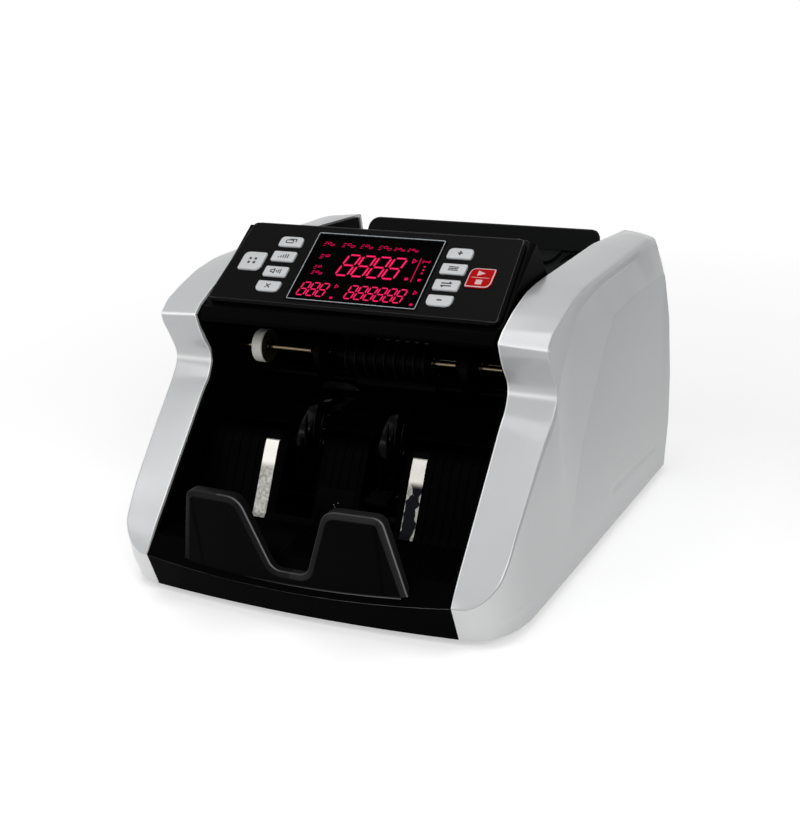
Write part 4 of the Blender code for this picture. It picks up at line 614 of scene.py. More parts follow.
def moulding(node: str, finish: bpy.types.Material, slot: Slot, edge: float = 0.5, angle_deg: float = 28.0,
             steps: int = 3, split: bool = False) -> bpy.types.Object:
    """A CAD piece with its loose triangles merged, its flats joined and its edges rounded.

    Args:
        node: CAD node, which the piece replaces.
        finish: Material.
        slot: The record's slot.
        edge: Width of the rounded edges, in millimetres.
        angle_deg: Only edges sharper than this are rounded.
        steps: Segments across a rounded edge.
        split: Whether the joined flats are cut into triangles again, which a flat around a slot needs.

    Returns:
        The piece.
    """
    form = bmesh.new()
    form.from_mesh(FRAME["nodes"][node].data)
    bmesh.ops.remove_doubles(form, verts=form.verts, dist=1e-6)
    bmesh.ops.dissolve_limit(form, angle_limit=math.radians(0.6), verts=form.verts, edges=form.edges)
    if split:
        bmesh.ops.triangulate(form, faces=form.faces)
    mesh = bpy.data.meshes.new(node + "_moulding")
    form.to_mesh(mesh)
    form.free()
    mesh.shade_smooth()
    mesh.set_sharp_from_angle(angle=math.radians(angle_deg))
    made = bpy.data.objects.new(mesh.name, mesh)
    bpy.context.scene.collection.objects.link(made)
    soften(made, edge, angle_deg, steps)
    return dress(made, finish, slot, BODY_OF[node], node)


def soften(made: bpy.types.Object, edge: float, angle_deg: float, steps: int) -> None:
    """Adds a bevel that rounds the sharp edges of a piece.

    Args:
        made: The piece.
        edge: Width in millimetres.
        angle_deg: Only edges sharper than this are rounded.
        steps: Segments across the edge.
    """
    bevel = made.modifiers.new("rounded_edges", "BEVEL")
    bevel.width = edge * MM
    bevel.segments = steps
    bevel.limit_method = "ANGLE"
    bevel.angle_limit = math.radians(angle_deg)
    bevel.harden_normals = True


def finish_node(node: str, finish: bpy.types.Material) -> None:
    """Leaves a CAD node as it is and gives it a material.

    Args:
        node: CAD node.
        finish: Material.
    """
    kept = FRAME["nodes"][node]
    kept.data.materials.clear()
    kept.data.materials.append(finish)
    LOG.info("%s keeps its shape", node)


def middle(node: str) -> np.ndarray:
    """Middle of a CAD node's box, in millimetres."""
    low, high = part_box(node)
    return np.array((low + high) / 2) / MM


def span(node: str, axis: int) -> tuple[float, float]:
    """Lowest and highest place of a CAD node along an axis, in millimetres."""
    low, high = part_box(node)
    return low[axis] / MM, high[axis] / MM


def blur(points: np.ndarray, reach: np.ndarray) -> np.ndarray:
    """Softens a family of lines along their length.

    Each point becomes the mean of its line, weighted by a bell curve of the distance along the line, whose
    width is the point's reach, cut down near the line's ends so that these stay where they are.

    Args:
        points: Lines by points by three.
        reach: Width of the bell at each point.

    Returns:
        The softened points.
    """
    step = np.linalg.norm(np.diff(points, axis=1), axis=2)
    run = np.concatenate([np.zeros((len(points), 1)), np.cumsum(step, axis=1)], axis=1)
    ends = np.minimum(run, run[:, -1:] - run)
    width = np.maximum(np.minimum(reach, ends / 2.5), 1e-4)
    share = np.gradient(run, axis=1) + 1e-6
    out = np.empty_like(points)
    for line in range(len(points)):
        gap = (run[line][:, None] - run[line][None, :]) / width[line][:, None]
        weight = np.exp(-0.5 * gap * gap) * share[line][None, :]
        out[line] = weight @ points[line] / weight.sum(axis=1, keepdims=True)
    return out


@dataclass
class SideCover:
    """Silver side cover: a band over the front and top, a soft crease, and a side of three flats."""

    side: int
    node: str
    wall: float = 2.4
    edge: float = 0.4
    # Station by station from the nose over the top to the rear foot: inner edge y z, crease x y z, crown
    # height, valley x y z, then ridge x y z, belly x y, foot x y, softness along, softness of the crease.
    stations: tuple[tuple[float, ...], ...] = (
        (-142.6, 27.4, 95.1, -142.6, 27.4, 0, 95.1, -142.6, 27.4,
         95.1, -138.4, 16.3, 95.1, -138.4, 95.1, -134.3, 1.5, 0.9),
        (-140.5, 30.1, 101.5, -140.5, 26.2, 0, 101.5, -140.5, 26.2,
         102.0, -137.1, 16.3, 102.0, -137.1, 100.9, -133.1, 2.6, 0.9),
        (-138.3, 32.9, 108.2, -137.1, 28.7, 0, 108.2, -137.1, 28.7,
         109.0, -134.0, 16.3, 109.0, -134.0, 106.9, -131.3, 2.6, 0.9),
        (-135.3, 36.4, 113.8, -133.7, 33.7, 0, 113.8, -133.7, 33.7,
         115.0, -129.5, 16.3, 115.0, -129.5, 112.0, -127.5, 2.6, 0.8),
        (-130.8, 41.5, 117.8, -128.6, 39.8, 0, 117.8, -128.6, 39.8,
         119.6, -122.4, 16.3, 119.6, -122.4, 116.5, -120.9, 2.6, 0.7),
        (-121.4, 51.0, 119.2, -120.0, 49.1, 0, 119.2, -120.0, 49.1,
         121.8, -113.0, 16.3, 121.8, -113.0, 120.2, -112.4, 2.6, 0.6),
        (-110.9, 62.0, 119.6, -110.6, 60.1, 0, 119.6, -110.6, 60.1,
         122.4, -100.0, 16.3, 122.4, -100.0, 122.3, -99.0, 2.6, 0.6),
        (-88.0, 85.7, 120.6, -88.2, 82.5, 0, 120.6, -88.2, 82.5,
         122.4, -81.0, 16.3, 122.4, -81.0, 122.4, -81.0, 2.6, 0.6),
        (-72.5, 102.0, 121.2, -73.0, 97.0, 0, 121.2, -73.0, 97.0,
         122.4, -67.0, 16.3, 122.4, -67.0, 122.4, -67.0, 2.0, 0.6),
        (-68.6, 105.4, 121.7, -67.2, 102.0, 0, 121.7, -67.2, 102.0,
         122.4, -62.0, 16.3, 122.4, -62.0, 122.4, -62.0, 1.6, 0.6),
        (-65.2, 108.0, 122.0, -64.0, 104.8, 0, 122.0, -64.0, 104.8,
         122.4, -57.5, 16.3, 122.4, -57.5, 122.4, -57.5, 1.6, 0.6),
        (-61.9, 113.0, 122.1, -58.6, 111.2, 0, 122.1, -58.6, 111.2,
         122.4, -52.5, 16.3, 122.4, -52.5, 122.4, -53.5, 1.8, 0.6),
        (-60.2, 116.8, 122.3, -56.4, 115.0, 0, 122.3, -56.4, 115.0,
         122.4, -48.3, 16.3, 122.4, -48.3, 122.4, -50.0, 1.8, 0.6),
        (-59.9, 120.8, 122.3, -56.3, 119.5, 0, 121.6, -52.4, 117.5,
         122.4, -42.0, 28.8, 122.4, -45.0, 122.4, -46.5, 1.8, 0.6),
        (-60.7, 124.6, 122.4, -57.9, 124.1, 0, 121.1, -48.0, 120.2,
         122.4, -36.0, 40.7, 122.4, -41.0, 122.4, -42.0, 1.8, 0.6),
        (-66.2, 133.0, 122.4, -62.6, 133.5, 0, 120.3, -41.0, 124.5,
         122.4, -29.0, 54.6, 122.4, -35.5, 122.4, -36.0, 1.8, 0.6),
        (-69.5, 141.1, 122.3, -66.5, 140.0, 0, 119.8, -35.5, 127.8,
         122.4, -23.0, 66.5, 122.4, -30.0, 122.4, -30.0, 1.2, 0.6),
        (-71.8, 148.9, 121.9, -68.5, 146.4, 0, 119.4, -30.0, 131.2,
         122.4, -16.7, 79.0, 122.4, -24.0, 122.4, -24.0, 0.7, 0.6),
        (-65.5, 153.7, 121.8, -60.5, 152.9, 0, 119.1, -24.0, 136.3,
         122.4, -10.0, 86.9, 122.4, -16.0, 122.4, -16.0, 1.6, 0.6),
        (-50.0, 160.4, 121.9, -46.0, 157.9, 0, 118.9, -16.5, 143.2,
         122.4, -1.0, 97.6, 122.4, -8.0, 122.4, -8.0, 2.8, 0.7),
        (-31.2, 165.5, 121.8, -28.0, 162.8, 0.4, 118.8, -9.3, 149.8,
         122.4, 9.0, 109.4, 122.4, 2.0, 122.4, 2.0, 3.0, 1.0),
        (-14.1, 167.0, 121.6, -8.1, 165.1, 1.0, 118.7, 3.0, 152.2,
         122.4, 19.0, 121.2, 122.4, 14.0, 122.4, 14.0, 3.0, 1.4),
        (25.0, 167.0, 120.8, 28.0, 164.3, 1.4, 118.4, 30.0, 154.9,
         122.4, 38.0, 136.4, 122.4, 46.0, 122.4, 46.0, 3.0, 1.9),
        (76.5, 167.0, 119.6, 75.9, 162.9, 1.9, 117.4, 76.0, 153.5,
         122.1, 78.0, 137.7, 122.4, 84.0, 122.4, 84.0, 3.0, 2.4),
        (117.1, 163.4, 118.0, 118.1, 161.3, 2.0, 116.6, 113.0, 152.3,
         121.7, 114.0, 135.8, 122.4, 111.0, 122.4, 111.0, 2.6, 2.2),
        (136.9, 161.7, 115.8, 135.3, 157.8, 0.8, 116.4, 135.3, 151.6,
         121.5, 136.8, 134.6, 122.4, 124.0, 122.4, 124.0, 1.0, 1.6),
        (141.0, 138.0, 119.1, 141.0, 138.0, 0, 119.1, 141.0, 138.0,
         121.7, 137.8, 130.5, 122.4, 127.0, 122.4, 127.0, 2.0, 0.6),
        (147.0, 104.0, 120.1, 147.0, 104.0, 0, 120.1, 147.0, 104.0,
         122.4, 144.4, 104.0, 122.4, 130.0, 122.4, 130.0, 3.0, 0.6),
        (149.5, 65.0, 120.3, 149.5, 65.0, 0, 120.3, 149.5, 65.0,
         122.4, 147.1, 64.9, 122.4, 132.5, 122.4, 132.5, 3.0, 0.6),
        (147.0, 33.7, 120.1, 147.0, 33.7, 0, 120.1, 147.0, 33.7,
         122.4, 144.4, 33.7, 122.4, 134.5, 122.4, 134.5, 3.0, 0.6),
        (138.4, 5.0, 119.4, 138.4, 5.0, 0, 119.4, 138.4, 5.0,
         122.4, 135.4, 5.0, 122.4, 135.4, 122.4, 135.4, 1.5, 0.6),
    )
    belly_z: float = 16.3
    foot_z: float = 5.0
    band_columns: int = 24
    upper_columns: int = 9
    middle_columns: int = 18
    lower_columns: int = 12
    groove_columns: int = 28
    groove_reach: float = 28.0
    foot_columns: int = 5
    fold: float = 0.4
    relief: float = 1.5
    limit: float = 122.45
    # y and z of the two folds across the band that get a painted highlight
    ridge_line: tuple[float, float] = (-71.8, 148.9)
    waist_line: tuple[float, float] = (-60.2, 117.5)

    def rows(self) -> np.ndarray:
        """Stations filled in to grid rows, closer where the softness along is small.

        Returns:
            One row of station values per grid row.
        """
        table = np.array(self.stations, float)
        track = (table[:, :2] + table[:, 3:5]) / 2
        run = np.concatenate([[0], np.cumsum(np.linalg.norm(np.diff(track, axis=0), axis=1))])
        fine = np.linspace(0, run[-1], 3000)
        step = np.clip(0.55 * np.interp(fine, run, table[:, -2]), 0.4, 1.9)
        count = np.concatenate([[0], np.cumsum(np.diff(fine) / step[1:])])
        places = np.interp(np.linspace(0, count[-1], int(count[-1]) + 1), count, fine)
        return np.stack([np.interp(places, run, column) for column in table.T], axis=1)

    def grooves(self, y: np.ndarray, z: np.ndarray) -> np.ndarray:
        """Depth of the tapered groove and of the fine line above it, at places on the side.

        Args:
            y: Places from front to rear.
            z: Heights.

        Returns:
            Depth in millimetres.
        """
        share = np.clip((y - 30.6) / 85.8, 0, 1)
        line = 28.2 - 4.8 * share
        half = 2.0 * (1 - share) + 0.7
        ends = 1 / (1 + np.exp(-(y - 31.5) / 0.8)) / (1 + np.exp((y - 116.0) / 1.2))
        deep = 0.7 * np.exp(-np.abs((z - line) / half) ** 4) * ends
        share = np.clip((y - 41.8) / 83.9, 0, 1)
        fine_ends = 1 / (1 + np.exp(-(y - 44.0) / 1.5)) / (1 + np.exp((y - 124.0) / 1.5))
        fine = 0.2 * np.exp(-((z - 42 + 2.5 * share) / 1.0) ** 2) * fine_ends
        return deep + fine

    def skin(self) -> np.ndarray:
        """Outer skin of the cover.

        A row runs straight from the inner edge to the crease, with a crown 4u(1-u) on top, and on in straight
        lines to the valley, the ridge, the belly and the foot. Columns crowd together at each fold by
        (1 - cos) / 2. Then every line is softened along and across.

        Returns:
            Rows by columns by three.
        """
        r = self.rows()
        inner = np.column_stack([np.full(len(r), THROAT), r[:, 0], r[:, 1]])
        crease, valley, ridge = r[:, 2:5], r[:, 6:9], r[:, 9:12]
        belly = np.stack([r[:, 12], r[:, 13], np.minimum(self.belly_z, r[:, 11])], axis=1)
        foot = np.stack([r[:, 14], r[:, 15], np.minimum(self.foot_z, r[:, 11])], axis=1)
        wide = np.clip(np.linalg.norm(valley - crease, axis=1) / 5, 0, 1)
        wide = wide * np.clip((120 - valley[:, 1]) / 20, 0, 1)
        deeper = 1 + (self.relief - 1) * wide
        valley = np.column_stack([SIDE - deeper * (SIDE - valley[:, 0]), valley[:, 1:]])
        narrow = np.clip(1 - np.linalg.norm(valley - crease, axis=1, keepdims=True) / 2, 0, 1)
        valley = valley + 0.06 * narrow * (ridge - valley)
        narrow = np.clip(1 - np.linalg.norm(ridge - belly, axis=1, keepdims=True) / 2, 0, 1)
        ridge = ridge + 0.06 * narrow * (valley - ridge)

        def crowd(count: int) -> np.ndarray:
            """Shares from nought to one, closer at both ends."""
            return (0.5 - 0.5 * np.cos(np.linspace(0, np.pi, count + 1)))[None, :, None]

        def straight(a: np.ndarray, b: np.ndarray, share: np.ndarray) -> np.ndarray:
            """Points on the lines from a to b."""
            return a[:, None] * (1 - share) + b[:, None] * share

        u = crowd(self.band_columns)
        band = straight(inner, crease, u)
        band[:, :, 2] += (4 * u * (1 - u))[:, :, 0] * r[:, 5:6]
        drop = np.maximum(ridge[:, 2] - self.belly_z, 1e-6)
        low = np.minimum(0.5, self.groove_reach / drop)[:, None, None]
        high_part = crowd(self.lower_columns) * (1 - low)
        low_part = 1 - low + low * np.linspace(0, 1, self.groove_columns + 1)[None, 1:, None]
        flat = straight(ridge, belly, np.concatenate([high_part, low_part], axis=1))
        parts = [band, straight(crease, valley, crowd(self.upper_columns))[:, 1:],
                 straight(valley, ridge, crowd(self.middle_columns))[:, 1:], flat[:, 1:],
                 straight(belly, foot, crowd(self.foot_columns))[:, 1:]]
        points = np.concatenate(parts, axis=1)
        folds = np.cumsum([part.shape[1] for part in parts]) - 1
        place = np.arange(points.shape[1])
        near = np.exp(-((place - folds[0]) / 7.0) ** 2)[None]
        points = blur(points, r[:, 17:18] * near + self.fold * (1 - near))
        calm = np.clip((place - folds[0]) / self.upper_columns, 0, 1)[:, None]
        along = r[:, 16][None, :] * (1 - calm) + np.minimum(2.6, r[:, 16] + 0.7)[None, :] * calm
        points = blur(points.transpose(1, 0, 2), along).transpose(1, 0, 2)
        side = place > folds[1]
        points[:, side, 0] -= self.grooves(points[:, side, 1], points[:, side, 2])
        points[:, :, 0] = np.clip(points[:, :, 0], THROAT, self.limit)
        points[:, :, 2] = np.maximum(points[:, :, 2], self.foot_z)
        return points

    def painted_light_share(self, points: np.ndarray) -> np.ndarray:
        """How much painted light each point gets.

        The inner edge, the nose's crease, the ridge and the waist get painted highlights. The band gets one even
        tone. The flats of the side get painted light and shade: paler downwards and towards the nose, the middle
        flat paler still, the upper flat one low even tone.

        Args:
            points: The skin.

        Returns:
            Share from nought to one, rows by columns.
        """
        y, z = points[:, 0, 1], points[:, 0, 2]
        place = np.arange(points.shape[1])
        # Painted highlights on the inner edge towards the front and on the nose's crease
        front = 1 / (1 + np.exp((y + 20) / 12))
        nose = 1 / (1 + np.exp((y + 122) / 4)) * (y > -141.5)
        inner = 0.8 * front[:, None] * (place < 3)[None]
        crease = 0.9 * nose[:, None] * (np.abs(place - self.band_columns) < 2)[None]
        to_valley = self.band_columns + self.upper_columns
        height = points[:, :, 2]
        # Painted light and shade on the flats: paler downwards and towards the nose, paler still on the middle flat
        low = np.clip(0.38 * (140 - height) / 110, 0, 0.42) + 0.22 * np.exp(-((points[:, :, 1] + 136) / 24) ** 2)
        painted_middle_flat = low + 0.15 * np.clip((height - 20) / 40, 0, 1)
        side = np.where(place[None] < to_valley + self.middle_columns, painted_middle_flat, low)
        side = np.where(place[None] < to_valley, 0.06, side)
        flats = np.where(place[None] <= self.band_columns, 0.27, side)
        across = (place <= self.band_columns + 1)[None]
        # Painted highlights along the ridge and the waist of the band
        near_ridge = np.hypot(y - self.ridge_line[0], z - self.ridge_line[1])
        near_waist = np.hypot(y - self.waist_line[0], z - self.waist_line[1])
        lines = np.exp(-(near_ridge / 0.85) ** 2) + 0.45 * np.exp(-(near_waist / 1.3) ** 2)
        return np.clip(np.maximum(np.maximum(inner, crease), flats) + lines[:, None] * across, 0, 1)

    def build(self, finishes: Finishes) -> bpy.types.Object:
        """Makes the cover and gives it its wall and edges.

        Args:
            finishes: The machine's materials.

        Returns:
            The cover.
        """
        points = self.skin()
        painted_light_share = self.painted_light_share(points)
        points[:, :, 0] *= self.side
        if self.side > 0:
            points, painted_light_share = points[::-1], painted_light_share[::-1]
        made = surface(self.node + "_shell", points, tidy=False, sharp_deg=50)
        store_painted_light(made, painted_light_share)
        form = bmesh.new()
        form.from_mesh(made.data)
        bmesh.ops.remove_doubles(form, verts=form.verts, dist=3e-5)
        form.to_mesh(made.data)
        form.free()
        made.data.shade_smooth()
        wall = made.modifiers.new("wall", "SOLIDIFY")
        wall.thickness = self.wall * MM
        wall.offset = -1
        wall.use_rim = True
        soften(made, self.edge, 55, 2)
        return dress(made, finishes.silver, Slot.SHELL, "machine", self.node)


@dataclass
class PanelPlane:
    """Sloping plane of the control panel: x across, u up the slope, w out of the face."""

    foot_y: float = -64.05
    foot_z: float = 156.76
    tilt_deg: float = 32.04
    length: float = 63.9

    def place(self, points: np.ndarray) -> np.ndarray:
        """Turns panel places into the machine's.

        Args:
            points: x, u and w in the last axis.

        Returns:
            x, y and z in the last axis.
        """
        c, s = math.cos(math.radians(self.tilt_deg)), math.sin(math.radians(self.tilt_deg))
        x, u, w = points[..., 0], points[..., 1], points[..., 2]
        return np.stack([x, self.foot_y + u * c - w * s, self.foot_z + u * s + w * c], axis=-1)


@dataclass
class Fascia:
    """Panel moulding, whose sides open a little towards the top."""

    plane: PanelPlane
    # How much narrower the foot and wider the head are than the CAD piece, and the places across between
    # which that sets in
    narrower: float = -0.6
    wider: float = -1.0
    fixed: float = 85.6
    free: float = 88.6
    foot_half: float = 92.5
    head_half: float = 88.2
    corner: float = 4.0
    # Inset and height of each ring
    flange: tuple[tuple[float, float], ...] = ((-1.8, -6.0), (-1.8, -3.6), (-1.4, -3.2), (1.0, -3.2), (1.0, -6.0))
    # The edge ring is of a lighter black: a painted highlight along the panel's edge
    edge_highlight: tuple[tuple[float, float], ...] = ((1.25, -0.3), (1.35, -0.02), (1.7, 0.03), (1.8, -0.3))

    def build(self, finishes: Finishes) -> None:
        """Makes the fascia from its CAD piece, its outer edges moved by their place up the slope, and its rims.

        Args:
            finishes: The machine's materials.
        """
        made = moulding("panel_fascia", finishes.panel, Slot.PANEL, 0.45)
        mesh = made.data
        flat = np.empty(len(mesh.vertices) * 3)
        mesh.vertices.foreach_get("co", flat)
        points = flat.reshape(-1, 3) / MM
        angle = math.radians(self.plane.tilt_deg)
        up = ((points[:, 1] - self.plane.foot_y) * math.cos(angle)
              + (points[:, 2] - self.plane.foot_z) * math.sin(angle))
        share = np.clip(up / self.plane.length, 0, 1)
        outer = np.clip((np.abs(points[:, 0]) - self.fixed) / (self.free - self.fixed), 0, 1)
        points[:, 0] += np.sign(points[:, 0]) * outer * (self.wider * share - self.narrower * (1 - share))
        mesh.vertices.foreach_set("co", (points * MM).ravel())
        mesh.update()
        foot, head, length = self.foot_half, self.head_half, self.plane.length
        outline = np.array([(-foot, 0.0), (foot, 0.0), (head, length), (-head, length)])
        outline = soft_corners(outline, self.corner, 8, closed=True)
        for name, finish, rings in (
                ("panel_flange", finishes.panel, self.flange), ("panel_edge_highlight", finishes.edge, self.edge_highlight)):
            dress(slab(name, outline, rings, self.plane.place, frame=True), finish, Slot.PANEL, "machine")


@dataclass
class StopPlate:
    """Bowed front stop plate with a chamfered face and a notch for the fingers."""

    foot_y: float = -142.0
    foot_z: float = 27.0
    top_z: float = 74.2
    foot_half: float = 69.8
    top_half: float = 59.8
    notch_top: float = 26.3
    notch_foot: float = 10.6
    sill: float = 5.2
    end: float = 1.2
    bow: float = 2.0
    wall_foot: float = 5.8
    wall_top: float = 8.6
    front_y: float = -149.5
    chamfer: float = 3.3
    corner: float = 5.5
    shoulder: float = 8.0
    lip_y: float = -133.65
    lip_z: float = 36.43
    lip_slope: float = 1.225
    lip_eases: float = 0.149
    half_width: float = 94.8

    def skyline(self) -> np.ndarray:
        """Upper edge as place across and height above the foot, left to right.

        Returns:
            Rounded path of two columns.
        """
        top = self.top_z - self.foot_z
        corners = np.array([(-self.foot_half, self.end), (-self.top_half, top), (-self.notch_top, top),
                            (-self.notch_foot, self.sill), (self.notch_foot, self.sill),
                            (self.notch_top, top), (self.top_half, top), (self.foot_half, self.end)])
        radii = np.array([0, self.corner, self.shoulder, self.corner, self.corner, self.shoulder, self.corner, 0])
        path = soft_corners(corners, radii, 14)
        run = np.concatenate([[0], np.cumsum(np.linalg.norm(np.diff(path, axis=0), axis=1))])
        even = np.unique(np.concatenate([run, np.linspace(0, run[-1], 260)]))
        return np.stack([np.interp(even, run, path[:, i]) for i in range(2)], axis=1)

    def bowed(self, x: np.ndarray) -> np.ndarray:
        """How far the face stands forward at a place across: bow (1 - (x / half)^2)."""
        return self.bow * (1 - np.minimum(np.abs(x) / self.foot_half, 1) ** 2)

    def bottom(self, x: np.ndarray, depth: float = 0.0) -> np.ndarray:
        """Rise of the plate's underside, which follows the sloping lip, steepest in its middle.

        Args:
            x: Place across.
            depth: As spot says.

        Returns:
            Rise over foot_z.
        """
        place = self.foot_y - self.bowed(x) + depth * self.wall_foot
        slope = self.lip_slope - self.lip_eases * (x / self.half_width) ** 2
        return self.lip_z + slope * (place - self.lip_y) + 0.35 - self.foot_z

    def spot(self, x: np.ndarray, rise: np.ndarray, depth: float) -> np.ndarray:
        """Point of the plate from its place across, rise over the foot and depth behind the face.

        The face leans forward in a straight line and bows forward.

        Args:
            x: Place across.
            rise: Height over the foot.
            depth: Share of the plate's thickness, nought on the face and one on the back.

        Returns:
            Points.
        """
        share = rise / (self.top_z - self.foot_z)
        foremost = self.bow * (1 - (self.notch_top / self.foot_half) ** 2)
        lean = self.foot_y - foremost - self.front_y
        face = self.foot_y - self.bowed(x) - lean * np.maximum(share, 0)
        thick = self.wall_foot + (self.wall_top - self.wall_foot) * np.maximum(share, 0)
        return np.stack([x, face + depth * thick, self.foot_z + rise], axis=-1)

    def build(self, finishes: Finishes) -> bpy.types.Object:
        """Makes the plate.

        Each row is the skyline moved inwards by an inset and set back by a depth, so that a chamfer and
        small radii run all along the edge. Rows of the same places across carry the face down to a smaller
        chamfer along the underside.

        Args:
            finishes: The machine's materials.

        Returns:
            The plate.
        """
        sky = self.skyline()
        tangent = np.gradient(sky, axis=0)
        tangent /= np.linalg.norm(tangent, axis=1, keepdims=True)
        inward = np.stack([tangent[:, 1], -tangent[:, 0]], axis=1)
        falling = np.clip(-tangent[:, 1], 0, 1)
        # Painted highlight along the upper edge: strongest where the edge falls and weak on the far left; the chamfer
        # rows get a fainter one, stronger where the edge falls or runs level and half as strong on the left lobe
        lit_side = 0.35 + 0.65 * np.clip(np.maximum(falling, tangent[:, 0]), 0, 1)
        lit_side = lit_side * np.where(sky[:, 0] < 0, 0.5, 1)
        rows, painted_share = [], []
        for moved, depth, light in self.section():
            line = sky + inward * moved
            line[:, 1] = np.maximum(line[:, 1], self.bottom(line[:, 0]) + 1.6)
            rows.append(self.spot(line[:, 0], line[:, 1], depth))
            painted_share.append(light * np.where(light > 0.3, np.where(sky[:, 0] < -40, 0.1, 0.3) + 0.7 * falling, lit_side))
        first, last = rows[0], rows[-1]
        x = first[:, 0]
        low, high = self.bottom(x), first[:, 2] - self.foot_z
        # Painted highlight along the underside's edge, brighter to the right
        right = np.clip(0.35 + x / 90, 0, 1)
        under = ((0.0, 0.45, 0), (0.0, 0.25, 0), (0.0, 0.08, 0.2), (0.1, 0.03, 0.6), (0.5, 0.0, 0.6), (1.1, 0.0, 0.1),
                 (1.6, 0.0, 0))
        grid = [self.spot(x, self.bottom(x, depth) + rise, depth) for rise, depth, _ in under]
        underside_highlight = [light * right for _, _, light in under]
        for t in (0.03, 0.35, 0.7, 0.985):
            grid.append(self.spot(x, (low + 1.6) * (1 - t) + high * t, 0.0))
            underside_highlight.append(0 * x)
        low, high = self.bottom(last[:, 0], 1.0), last[:, 2] - self.foot_z
        for t in (0.5, 1.0):
            rows.append(self.spot(last[:, 0], high * (1 - t) + low * t, 1.0))
            painted_share.append(0 * x)
        made = surface("front_stop_plate_shell", np.stack(grid + rows), wrap_rows=True, tidy=False, sharp_deg=14)
        store_painted_light(made, np.stack(underside_highlight + painted_share))
        self.skirt_highlight(finishes)
        return dress(made, finishes.stop, Slot.STOP, "machine", "front_stop_plate")

    def skirt_highlight(self, finishes: Finishes) -> None:
        """Painted highlight along the fold of the skirt, brighter to the right.

        The fold lies at y = -146 + 3.4 (x / half)^2 and z = 21.3 + 5.5 (x / half)^2.

        Args:
            finishes: The machine's materials.
        """
        x = np.linspace(-94.2, 94.2, 120)[:, None]
        bend = (x / self.half_width) ** 2
        off = np.array([(0.32, 0.3), (0.0, 0.02), (0.22, -0.28)])
        points = np.dstack([x + 0 * off[:, 0], -146.0 + 3.4 * bend + off[:, 0], 21.3 + 5.5 * bend + off[:, 1]])
        made = surface("base_skirt_painted_highlight", points, tidy=False, sharp_deg=80)
        store_painted_light(made, np.clip(0.12 + 0.003 * (x + 94), 0, 0.6) + 0 * off[:, 0])
        dress(made, finishes.stop, Slot.BODY, "machine")

    def section(self) -> list[tuple[float, float, float]]:
        """Rows across the upper edge, from the face to the back.

        Returns:
            Inset, depth and painted highlight of each row.
        """
        c = self.chamfer
        return [(c + 0.3, 0.0, 0.01), (c, 0.004, 0.05), (c - 0.2, 0.012, 0.06), (0.55, 0.135, 0.08), (0.3, 0.155, 0.6),
                (0.1, 0.19, 0.9), (0.0, 0.24, 0.6), (0.0, 0.3, 0.05), (0.0, 0.88, 0.04), (0.12, 0.94, 0.06),
                (0.45, 0.985, 0.03), (0.8, 1.0, 0.0)]


